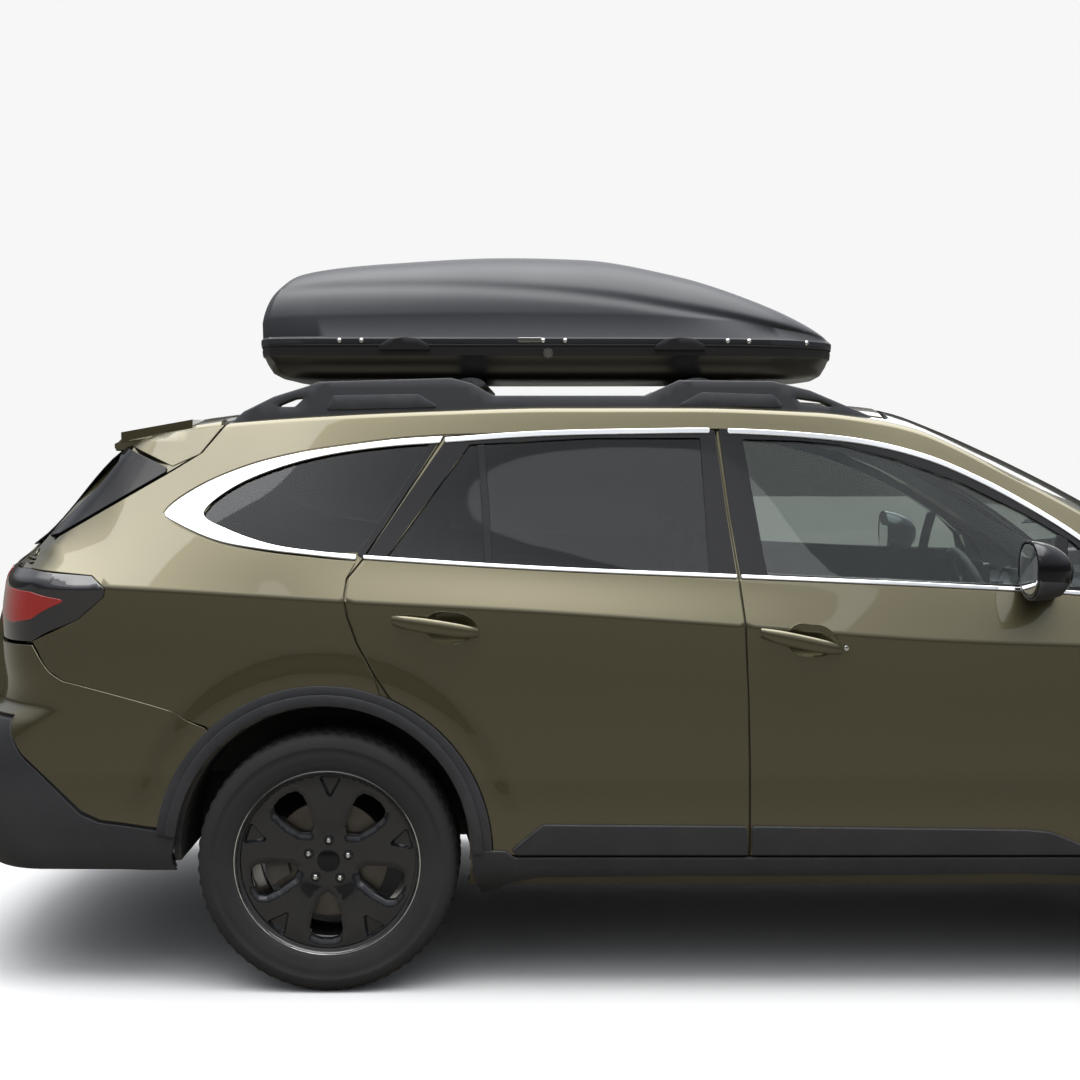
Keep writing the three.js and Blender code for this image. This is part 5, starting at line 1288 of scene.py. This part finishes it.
head_blade = [*nose_points([(2024, 856), (2020, 842), (2200, 796)]), (-480, 788), (-480, 806),
              *nose_points([(2190, 818)])]
both("headlamp_blade", pressed(head_blade, on_nose, lift=-14, thick=10, edge=2), "body", "lamp_reflector")
bowl = turned([(0.5, 20), (20, 16), (34, 4), (36, -6), (38, -6), (37, 6), (22, 20), (0.5, 24)], 32)
bowls = [placed(placed(bowl, turn=("Z", 68)), move) for move in ((2262, -600, 838), (2205, -670, 838))]
both("headlamp_bowls", joined(*bowls), "body", "lamp_reflector")
print("lower body and ends:", len(PIECES), "pieces so far")

# %% [markdown]
# ## Roof rails, cross bars and the roof box
# The rail is a rounded bar that widens into a sculpted foot at each end. The box is a stack of rings: the base
# widens upwards to the seam, and each ring of the lid shrinks towards the spine while it climbs, so a steep
# side turns into a flat top.

# %% Rails
rail = [(-1585, 1520), (-1585, 1556), (-1549, 1589), (-1464, 1631), (-1368, 1661), (-1337, 1673), (-959, 1684),
        (-899, 1668), (-839, 1634), (-406, 1634), (-310, 1678), (-45, 1675), (62, 1649), (232, 1577), (253, 1556),
        (253, 1520)]
rear_opening = [(-1462, 1602), (-1404, 1625), (-1376, 1628), (-1404, 1602)]
front_opening = [(20, 1628), (38, 1612), (130, 1601), (94, 1617)]


def on_rail(x, z):
    """Outer face of the rail: it leans in with height."""
    lean = 6 * np.clip((z - 1600) / 90, -0.8, 1)
    return np.stack([x, -614 + lean, z], 1)


rail_face = pressed(rail, on_rail, holes=[rear_opening, front_opening], lift=0, thick=42, edge=5, step=26)
rear_foot = [(-1316, 1592), (-1294, 1634), (-1053, 1638), (-988, 1600)]
front_foot = [(-322, 1602), (-246, 1643), (-44, 1636), (-10, 1600)]
pads = [pressed(foot, on_rail, lift=3.5, thick=6, edge=3, corner_radius=8) for foot in (rear_foot, front_foot)]
both("roof_rail", joined(rail_face, *pads), "body", "rail_plastic")
bars = [lofted([[(x + 40 * np.cos(a), y, 1669 + 16 * np.sin(a)) for a in np.linspace(0, 2 * np.pi, 25)[:-1]]
                for y in np.linspace(-588, 588, 9)]) for x in (-905, -255)]
show("cross_bars", joined(*bars), "body", "rail_plastic", stands_for=["roof_rack"])


# %% Roof box
def plan_ring():
    x0, x1, h = -1552, 215, 425
    right = [*flow([(x0, 0), (x0 + 4, h - 120), (x0 + 40, h - 22)], 24)[:-1],
             *flow([(x0 + 40, h - 22), (x0 + 160, h), (-900, h), (-300, h - 12), (0, h - 70), (x1 - 70, h - 190),
                    (x1 - 12, h - 300), (x1, 0)], 24)]
    return np.array([*right, *[(x, -y) for x, y in reversed(right[1:-1])]])


PLAN = plan_ring()
box_top = curve((-1552, 2010), (-1500, 2034), (-1233, 2058), (-834, 2074), (-515, 2068), (-195, 2024), (61, 1944),
                (180, 1880), (215, 1838))
swoosh = curve((-1552, 0.66), (-1200, 0.64), (-700, 0.56), (-300, 0.42), (0, 0.30), (215, 0.2))


def box_ring(share, lift=0.0):
    """One ring of the lid: 1 at the seam, 0 along the spine; the side carries a soft swage."""
    held = np.where(PLAN[:, 0] < -720, 0.5, 0.2)
    x = -720 + (PLAN[:, 0] + 720) * (held + (1 - held) * np.sqrt(share))
    y = PLAN[:, 1] * share
    top = np.maximum(6, box_top(PLAN[:, 0]) - 1792)
    climb = (1 - share ** 3.4) ** 0.42
    swage = 8 * np.exp(-((climb - swoosh(PLAN[:, 0])) / 0.06) ** 2) * np.clip((PLAN[:, 0] + 1530) / 150, 0, 1)
    scale = 1 - swage * np.clip(share, 0, 1) / 420
    return np.stack([-720 + (x + 720) * scale, y * scale, 1792 + top * climb + lift], 1)


def base_ring(inset, z):
    return np.stack([-668 + (PLAN[:, 0] + 668) * (1 - inset / 884), PLAN[:, 1] * (1 - inset / 425),
                     np.full(len(PLAN), float(z))], 1)


shares = 1 - np.linspace(0.0, 1, 45)[1:-1] ** 2.2
lid_rings = [base_ring(16, 1790), base_ring(3, 1788), base_ring(0, 1792), base_ring(0, 1806), base_ring(5, 1812),
             *[box_ring(s) for s in shares if box_ring(s)[:, 2].min() > 1700 and s < 0.985]]
lid_rings[5:] = [np.maximum(ring, [-9999, -9999, 1814.0]) for ring in lid_rings[5:]]
spine = box_ring(0.0005)
show("box_lid_shell", lofted([*lid_rings, spine]), "roof_box_lid", "box_lid", stands_for=["roof_box_lid"])
base_rings = [base_ring(95, 1689), base_ring(60, 1694), base_ring(34, 1708), base_ring(18, 1735),
              base_ring(11, 1752), base_ring(5, 1757), base_ring(3, 1772), base_ring(4, 1783), base_ring(14, 1786)]
show("box_base_shell", lofted(base_rings), "body", "box_base", stands_for=["roof_box_base"])
bead = swept([(x, y, 1787) for x, y in PLAN * [0.994, 0.988] + [-4, 0]], 5, closed=True)
show("box_seam_seal", bead, "body", "seal_rubber")


def on_box(x, z):
    """Right side of the box near its seam."""
    side = np.interp(x, PLAN[len(PLAN) // 2:, 0][::-1], PLAN[len(PLAN) // 2:, 1][::-1])
    return np.stack([x, side, z], 1)


def box_point(x, out, z):
    return on_box(np.array([float(x)]), np.array([float(z)]))[0] - [0, out, 0]


grips = []
for x in (-1106, -292):
    arch = [(x - 78, 1772), (x + 78, 1772), (x + 70, 1790), (x + 42, 1806), (x, 1811), (x - 42, 1806), (x - 70, 1790)]
    grips.append(pressed(arch, on_box, lift=9, thick=14, edge=4))
show("box_grips", joined(*grips), "roof_box_lid", "box_base")
rivet = turned([(0.4, 5), (4, 4.4), (7, 2), (8, -2), (0.4, -3)], 20)
rivets = [placed(rivet, turn=("Z", 180), move=box_point(x, -1, 1801))
          for x in (-1298, -1233, -697, -632, -149, -84, 102)]
show("box_rivets", joined(*rivets), "roof_box_lid", "bright_trim")
lock = turned([(0.4, 9), (5, 9), (5.5, 6), (14, 6), (16, 3), (17, -4), (0.4, -5)], 32)
show("box_lock", placed(lock, turn=("Z", 180), move=box_point(-682, -6, 1762)), "body",
     "bright_trim")
show("box_badge", pressed([(-772, 1796), (-698, 1796), (-698, 1809), (-772, 1809)], on_box, lift=1.5, thick=3,
                          edge=0.8), "roof_box_lid", "bright_trim")
print("roof box and rack:", len(PIECES), "pieces so far")

# %% [markdown]
# ## Windscreen, mirrors, handles and wipers
# The windscreen lies on the same crowned surface as the roof, between its curved foot and its curved head. Handles sit
# in shallow cups: the cup is a flat patch that carries the normals of a dish, and the bar bridges it on two ends.

# %% Windscreen
screen_foot = curve((-715, 1128), (-420, 1206), (0, 1235), (420, 1206), (715, 1128))
screen_head = curve((-560, 286), (0, 332), (560, 286))


def on_deck(x, y):
    return np.stack([x, y, crown_z(x, y)], 1)


def screen_line(share, count=24, squeeze=1.0):
    t = np.linspace(-1, 1, count) * squeeze
    x0, x1 = screen_foot(715 * t), screen_head(560 * t)
    return [(float(a + (b - a) * share), float((715 + (560 - 715) * share) * u)) for a, b, u in zip(x0, x1, t)]


screen_outline = [*screen_line(0.015, squeeze=0.985), *reversed(screen_line(0.985, squeeze=0.975))]
show("windscreen_pane", pressed(screen_outline, on_deck, lift=0.5, thick=5, edge=0.8, step=44), "body",
     "clear_glass", stands_for=["windscreen"])
screen_inside = [*screen_line(0.07, squeeze=0.94), *reversed(screen_line(0.93, squeeze=0.93))]
show("windscreen_band", pressed(screen_outline, on_deck, holes=[screen_inside], lift=-5.5, thick=1.5, edge=0.4,
                                step=34), "body", "gloss_black")
cowl = [*screen_line(-0.075, squeeze=0.99), *reversed(screen_line(0.0, squeeze=0.99))]
show("cowl_panel", pressed(cowl, on_deck, lift=-4, thick=6, edge=1.5, step=30), "body", "cladding")
for side, (start, end) in (("long", ((1150, -520), (1010, 180))), ("short", ((1165, 150), (1030, 600)))):
    line = [np.array(start) + (np.array(end) - start) * t for t in np.linspace(0, 1, 14)]
    arm = [(x, y, float(crown_z(np.array([x]), np.array([y]))[0]) + 16) for x, y in line]
    show(f"wiper_{side}", joined(swept(arm, 5), swept([(x - 12, y, z - 9) for x, y, z in arm], 4)), "body",
         "seal_rubber")

# %% Mirrors
MIRROR_BACK, MIRROR_Y, MIRROR_Z = 592, -952, 1164
MIRROR_HALF = (98, 78)
angles = np.linspace(0, 2 * np.pi, 41)[:-1]


def dome(share):
    """Size of a section of the housing: share 0 is its flat back edge, 1 its front tip."""
    return math.sqrt(max(1e-4, 1 - share ** 2.2))


def mirror_ring(share, grow=1.0, x_shift=0.0):
    wide, high = MIRROR_HALF[0] * dome(share) * grow, MIRROR_HALF[1] * dome(share) * grow
    return [(MIRROR_BACK + x_shift + 122 * share,
             MIRROR_Y + wide * np.sign(np.cos(a)) * abs(np.cos(a)) ** 0.8 + 12 * share,
             MIRROR_Z + high * np.sign(np.sin(a)) * abs(np.sin(a)) ** 0.8 - 10 * share) for a in angles]


def lower_ring(share):
    return [(MIRROR_BACK + 2 + 116 * share, MIRROR_Y + 12 * share + 96 * dome(share) * math.cos(a),
             MIRROR_Z - 12 * share + dome(share) * (53 * math.sin(a) - 30)) for a in angles]


housing = lofted([mirror_ring(0, 0.88, 8), mirror_ring(0, 0.9), mirror_ring(0, 0.97, 1),
                  *[mirror_ring(s) for s in (0.06, 0.15, 0.26, 0.38, 0.5, 0.62, 0.73, 0.82, 0.9, 0.95, 0.985)]])
both("mirror_housing", housing, "front_door*", "gloss_black", stands_for=["mirror"])
glass = lofted([mirror_ring(0, 0.85, 6), mirror_ring(0, 0.85, 1.5), mirror_ring(0, 0.80, 0.5)])
both("mirror_glass", glass, "front_door*", "mirror_glass")
both("mirror_lower_shell", lofted([lower_ring(s) for s in np.linspace(0.02, 0.97, 10)]), "front_door*", "rail_plastic")
foot_ring = [[(652 + 46 * math.cos(a) + 3 * t, -838 - 76 * t, 1087 + 17 * math.sin(a) + 12 * t) for a in angles]
             for t in np.linspace(0, 1, 7)]
both("mirror_foot", lofted(foot_ring), "front_door*", "gloss_black")


# %% Door handles
def handle(start, end, cup_start, cup_end):
    """The bar and the cup behind it, along the line from start to end on the door's side."""
    (x0, z0), (x1, z1) = start, end
    across = np.linspace(0, 1, 25)
    centre = np.stack([x0 + (x1 - x0) * across, z0 + (z1 - z0) * across], 1)
    y = side_y(centre[:, 0], centre[:, 1])
    bulge = 34 - 22 * np.abs(2 * across - 1) ** 4
    half = 20 - 7 * np.abs(2 * across - 1) ** 3
    ring_angles = np.linspace(0, 2 * np.pi, 21)[:-1]
    rings = [[(x, -(abs(yy) + out - 9 + 9 * math.cos(a)), z + h * math.sin(a)) for a in ring_angles]
             for (x, z), yy, out, h in zip(centre, y, bulge, half)]
    ends = [placed(turned([(0.4, 2), (12, 1), (14, -4), (14, -26), (0.4, -27)], 24), turn=("Z", 180),
                   move=(x, -(abs(float(side_y(np.array([x]), np.array([z]))[0])) + 2), z))
            for x, z in (centre[2], centre[-3])]
    (cx0, cz0), (cx1, cz1) = cup_start, cup_end
    middle = (cz0 + cz1) / 2
    cup = flow([(cx0, middle + 6), (cx0 + 36, cz0), ((cx0 + cx1) / 2, middle + 42), (cx1 - 36, middle + 36),
                (cx1, middle), (cx1 - 36, cz1), ((cx0 + cx1) / 2, middle - 46), (cx0 + 36, middle - 38)], 14, True)
    return joined(lofted(rings), *ends), cup


for label, body, points in (
        ("rear", "rear_door*", ((-1104, 1024), (-872, 990), (-1024, 1046), (-872, 962))),
        ("front", "front_door*", ((-112, 990), (104, 944), (-52, 1012), (98, 926)))):
    bar, cup = handle(*points)
    both(f"{label}_handle", bar, body, "paint")
    depth = np.array(cup).mean(0)
    reach = np.abs(np.array(cup) - depth).max(0)

    def dished(x, z, middle=depth, half=reach):
        sunk = 20 * np.clip(1 - ((x - middle[0]) / half[0]) ** 2 - ((z - middle[1]) / half[1]) ** 2, 0, 1)
        return on_side(x, z) + np.stack([0 * x, sunk, 0 * x], 1)

    plain = {"lift": 3.4, "thick": 3, "edge": 0.8, "step": 9, "corner_radius": 0}
    flat, dish = pressed(cup, on_side, **plain), pressed(cup, dished, **plain)
    both(f"{label}_handle_cup", (flat[0], flat[1], dish[2]), body, "paint")
key = turned([(0.4, 3), (6, 2.6), (8, 0), (8.5, -6), (0.4, -7)], 24)
both("key_cylinder", placed(key, turn=("Z", 180), move=(118, -(abs(float(side_y(np.array([118.0]), np.array(
    [948.0]))[0])) + 4), 948)), "front_door*", "bright_trim")
flap = arc((-1720, 945), 78, 0, 342, 30)
show("fuel_flap", pressed(flap, on_side, lift=3.2, thick=2, edge=1.2, corner_radius=0), "body", "paint",
     mirrored=True)
pipe = turned([(30, -60), (34, -60), (34, 60), (30, 60)], 32)
show("exhaust", placed(placed(pipe, turn=("Z", 90)), move=(-2270, 480, 330)), "body", "brake_steel")
print("fittings:", len(PIECES), "pieces so far")

# %% [markdown]
# ## Cabin
# The seats are seen through the glass, so their shape matters more than their stitching.


# %% Soft blocks
def soft_block(outline, half, centre_y, corner=34, swell=10, count=11):
    """A side outline (x, z) swept across the car; its rings shrink towards each side like an upholstered edge."""
    loop = rounded(outline, corner, 30)
    loop = loop if area(loop) > 0 else loop[::-1]
    rings = []
    for t in np.sin(np.linspace(-np.pi / 2, np.pi / 2, count)):
        tuck = corner * 0.9 * (1 - math.sqrt(max(0.0, 1 - abs(t) ** 6)))
        ring = shifted(loop, tuck - swell * (1 - t ** 2) * 0.6)
        rings.append(np.stack([ring[:, 0], np.full(len(ring), centre_y + t * half), ring[:, 1]], 1))
    return lofted(rings)


x = 150
front_base = [(x - 245, 395), (x + 232, 395), (x + 254, 560), (x + 226, 602), (x - 240, 574)]
front_back = [(x - 288, 560), (x - 204, 590), (x - 318, 1170), (x - 362, 1190), (x - 444, 1170), (x - 348, 586)]
front_head = [(-300, 1232), (-192, 1236), (-196, 1372), (-290, 1378)]
side_bolsters = [[(x - 232, 560), (x + 210, 590), (x + 214, 630), (x - 220, 622)],
                 [(x - 250, 620), (x - 190, 640), (x - 286, 1090), (x - 330, 1096)]]
seat_data = joined(soft_block(front_base, 236, -370), soft_block(front_back, 234, -370),
                   soft_block(front_head, 124, -370, 40), *[soft_block(b, 34, y, 18, 2)
                                                           for b in side_bolsters for y in (-572, -168)])
both("front_seat_soft", seat_data, "body", "seat_cloth", stands_for=["front_seat"])
posts = [swept([(-262, y, 1180), (-246, y, 1300)], 7) for y in (-420, -320)]
both("front_seat_posts", joined(*posts, block([(-110, 372), (392, 372), (396, 402), (-112, 402)], "xz", -600, -140,
                                              4)), "body", "cabin_plastic")
rear_base = [(-925, 400), (-470, 400), (-448, 600), (-480, 640), (-925, 622)]
rear_back = [(-1065, 610), (-905, 610), (-892, 650), (-1016, 1160), (-1062, 1180), (-1130, 1162)]
rear_parts = [soft_block(rear_base, 300, y, 36) for y in (-306, 306)]
rear_parts += [soft_block(rear_back, w, y, 34) for y, w in ((-400, 196), (0, 196), (400, 196))]
rear_parts += [soft_block([(-1128, 1150), (-1022, 1150), (-1026, 1262), (-1120, 1266)], 116, y, 36)
               for y in (-400, 400)]
show("rear_seat_soft", joined(*rear_parts), "body", "seat_cloth", stands_for=["rear_seat"])

# %% Steering wheel
tilt = math.radians(24)
hub = np.array([610.0, -370.0, 1010.0])
across, up, out = np.array([0, 1.0, 0]), np.array([-math.sin(tilt), 0, math.cos(tilt)]), np.array(
    [-math.cos(tilt), 0, -math.sin(tilt)])
ring = [hub + 176 * (across * math.cos(a) + up * math.sin(a)) for a in np.linspace(0, 2 * np.pi, 65)[:-1]]
spokes = [swept([hub + 40 * d + out * 2, hub + 100 * d + out * 6, hub + 172 * d], 13)
          for d in (across, -across, -up)]
pad = lofted([[hub + out * depth + size * (across * math.cos(a) * 1.1 + up * math.sin(a) * 0.9)
               for a in np.linspace(0, 2 * np.pi, 33)[:-1]]
              for depth, size in ((-18, 40), (0, 62), (16, 64), (28, 54), (34, 30))])
column = swept([hub + out * -10, hub + out * -120, hub + out * -220], 24)
show("steering_wheel_rim", joined(swept(ring, 15, closed=True), *spokes, pad), "steering_wheel", "cabin_plastic",
     stands_for=["steering_wheel"])
show("steering_column", column, "body", "cabin_plastic")

# %% Dashboard details
vents = [block([(y - 60, 950), (y + 60, 950), (y + 56, 1000), (y - 56, 1000)], "yz", 700, 716, 3)
         for y in (-620, 620)]
screen = block([(-130, 930), (130, 930), (130, 1120), (-130, 1120)], "yz", 690, 712, 4)
show("dashboard_screen", joined(screen, *vents), "body", "gloss_black")
shifter = joined(swept([(330, 0, 690), (322, 0, 800)], 9), soft_block([(300, 800), (348, 800), (350, 850),
                                                                      (304, 856)], 22, 0, 14, 1, 7))
show("shift_lever", shifter, "body", "cabin_plastic")
lining = [(-60, 560), (560, 560), (560, 880), (-60, 890)]


def inside_door(x, z):
    return np.stack([x, -(np.abs(side_y(x, z)) - 110), z], 1)


both("front_door_lining", pressed(lining, inside_door, lift=0, thick=8, edge=3, step=40, facing=(0, 1, 0)),
     "front_door*", "cabin_plastic")
rear_lining = [(-760, 600), (-210, 600), (-210, 890), (-760, 900)]
both("rear_door_lining", pressed(rear_lining, inside_door, lift=0, thick=8, edge=3, step=40, facing=(0, 1, 0)),
     "rear_door*", "cabin_plastic")
print("cabin:", len(PIECES), "pieces so far")

# %% [markdown]
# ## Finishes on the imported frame
# What lies behind the skins is the frame itself: door shells, pillars, floor, axles and engine. A pillar is
# painted where it can be seen with a door open, and trimmed towards the cabin. One formula tells the two apart:
# on a face that looks outwards, the normal and the position have the same sign across the car.

# %% Painted outside, trimmed inside
def outside_mask(tree):
    """1 on faces that look away from the car's middle plane, 0 on faces that look into the cabin."""
    geometry = add_node(tree, "ShaderNodeNewGeometry")
    coords = add_node(tree, "ShaderNodeTexCoord")
    place = add_node(tree, "ShaderNodeSeparateXYZ", Vector=coords.outputs["Object"]).outputs["Y"]
    normal = add_node(tree, "ShaderNodeSeparateXYZ", Vector=geometry.outputs["Normal"]).outputs["Y"]
    product = add_node(tree, "ShaderNodeMath", {"operation": "MULTIPLY"}, i0=place, i1=normal).outputs[0]
    return add_node(tree, "ShaderNodeMapRange", Value=product, From_Min=-0.32, From_Max=-0.28).outputs["Result"]


def two_sided(name, inner_colour):
    """The paint finish with a trim colour, dull and without metal, on the faces towards the cabin."""
    material = FINISHES["paint"].copy()
    material.name = name
    tree = material.node_tree
    shader = tree.nodes["Principled BSDF"]
    mask = outside_mask(tree)
    colour, rough = (shader.inputs[k].links[0].from_socket for k in ("Base Color", "Roughness"))
    mixed = add_node(tree, "ShaderNodeMix", {"data_type": "RGBA"}, i0=mask, i6=inner_colour, i7=colour).outputs[2]
    dulled = add_node(tree, "ShaderNodeMix", {"data_type": "FLOAT"}, i0=mask, i2=0.85, i3=rough).outputs[0]
    tree.links.new(mixed, shader.inputs["Base Color"])
    tree.links.new(dulled, shader.inputs["Roughness"])
    for socket in ("Metallic", "Coat Weight"):
        value = shader.inputs[socket].default_value
        scaled = add_node(tree, "ShaderNodeMath", {"operation": "MULTIPLY"}, i0=mask, i1=value).outputs[0]
        tree.links.new(scaled, shader.inputs[socket])
    return material


FINISHES["paint_and_trim"] = two_sided("paint_and_trim", (0.030, 0.030, 0.032, 1))
FINISHES["paint_and_lining"] = two_sided("paint_and_lining", (0.20, 0.195, 0.185, 1))
CAD_FINISH = {
    "side_frame": "paint_and_trim", "front_door": "paint_and_trim", "rear_door": "paint_and_trim",
    "fender": "paint", "roof_panel": "paint_and_lining", "bonnet": "paint", "tailgate": "paint_and_trim",
    "front_bumper": "cladding", "floor_pan": "underbody", "engine": "engine_alloy",
    "front_axle": "chassis", "rear_axle": "chassis", "knuckle": "chassis", "dashboard": "cabin_plastic",
    "tail_lamp": "lamp_smoke", "headlamp": "lamp_smoke", "roof_rack": "rail_plastic",
}
for name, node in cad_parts.items():
    plain = name.removesuffix("_right").removesuffix("_left")
    if plain in CAD_FINISH:
        for holder in node.material_slots:
            holder.material = FINISHES[CAD_FINISH[plain]]
print("finished CAD nodes:", sum(o.material_slots[0].material.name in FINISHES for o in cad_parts.values()))

# %% [markdown]
# ## Floor, light and background
# A large soft light over the car does most of the work: the shoulders of the body face it and go pale, while the
# doors below the crease reflect the plain floor and stay dark. A weaker one in front of the camera's side fills.

# %% Floor
floor_mesh = bpy.data.meshes.new("floor")
floor_mesh.from_pydata([(-40, -40, 0), (40, -40, 0), (40, 40, 0), (-40, 40, 0)], [], [(0, 1, 2, 3)])
floor = bpy.data.objects.new("floor", floor_mesh)
bpy.context.scene.collection.objects.link(floor)
floor_material = bpy.data.materials.new("studio_floor")
floor_material.use_nodes = True
tree = floor_material.node_tree
soil = tree.nodes["Principled BSDF"]
soil.inputs["Roughness"].default_value = 0.9
soil.inputs["Specular IOR Level"].default_value = 0.1
is_camera = add_node(tree, "ShaderNodeLightPath").outputs["Is Camera Ray"]
shade = add_node(tree, "ShaderNodeMix", {"data_type": "RGBA"}, i0=is_camera, i6=(0.17, 0.16, 0.14, 1),
                 i7=(0.80, 0.80, 0.80, 1))
tree.links.new(shade.outputs[2], soil.inputs["Base Color"])
glow = add_node(tree, "ShaderNodeEmission", Color=(0.93, 0.93, 0.93, 1), Strength=1.0)
place = add_node(tree, "ShaderNodeTexCoord").outputs["Object"]
distance = add_node(tree, "ShaderNodeVectorMath", {"operation": "LENGTH"}, i0=place).outputs["Value"]
fade = add_node(tree, "ShaderNodeMapRange", {"interpolation_type": "SMOOTHSTEP"}, Value=distance, From_Min=2.2,
                From_Max=7.0).outputs["Result"]
seen_fade = add_node(tree, "ShaderNodeMath", {"operation": "MULTIPLY"}, i0=fade, i1=is_camera).outputs[0]
both_ways = add_node(tree, "ShaderNodeMixShader", i0=seen_fade, i1=soil.outputs[0], i2=glow.outputs[0])
tree.links.new(both_ways.outputs[0], tree.nodes["Material Output"].inputs["Surface"])
floor_mesh.materials.append(floor_material)

# %% World: pale all round, brighter overhead
world = bpy.data.worlds.new("studio")
bpy.context.scene.world = world
world.use_nodes = True
tree = world.node_tree
background = tree.nodes["Background"]
coords = add_node(tree, "ShaderNodeTexCoord")
split = add_node(tree, "ShaderNodeSeparateXYZ", Vector=coords.outputs["Generated"])
ramp = add_node(tree, "ShaderNodeValToRGB", Fac=split.outputs["Z"])
ramp.color_ramp.elements[0].position = 0.0
ramp.color_ramp.elements[0].color = (0.05, 0.047, 0.04, 1)
ramp.color_ramp.elements[1].position = 0.92
ramp.color_ramp.elements[1].color = (3.0, 3.0, 3.0, 1)
for place, value in ((0.12, (0.08, 0.077, 0.07, 1)), (0.32, (0.42, 0.44, 0.47, 1)), (0.7, (0.75, 0.78, 0.82, 1))):
    ramp.color_ramp.elements.new(place).color = value
is_camera = add_node(tree, "ShaderNodeLightPath").outputs["Is Camera Ray"]
seen = add_node(tree, "ShaderNodeMix", {"data_type": "RGBA"}, i0=is_camera, i6=ramp.outputs["Color"],
                i7=(0.93, 0.93, 0.93, 1))
tree.links.new(seen.outputs[2], background.inputs["Color"])
background.inputs["Strength"].default_value = 1.0


# %% Softboxes
def softbox(name, place, aim, size, power, colour=(1, 1, 1)):
    light = bpy.data.lights.new(name, "AREA")
    light.shape = "RECTANGLE"
    light.size, light.size_y = size
    light.energy = power
    light.color = colour
    holder = bpy.data.objects.new(name, light)
    holder.location = place
    holder.rotation_euler = (Vector(aim) - Vector(place)).to_track_quat("-Z", "Y").to_euler()
    bpy.context.scene.collection.objects.link(holder)


softbox("overhead", (0, 0, 6.5), (0, 0, 0), (9.0, 8.0), 560)
softbox("near_side", (-1.5, -6.0, 5.6), (0, 0, 0.6), (7.0, 1.6), 34)
softbox("far_side", (1.0, 7.5, 4.2), (0, 0, 0.8), (7.0, 2.5), 90)
bpy.context.scene.view_settings.view_transform = "Standard"
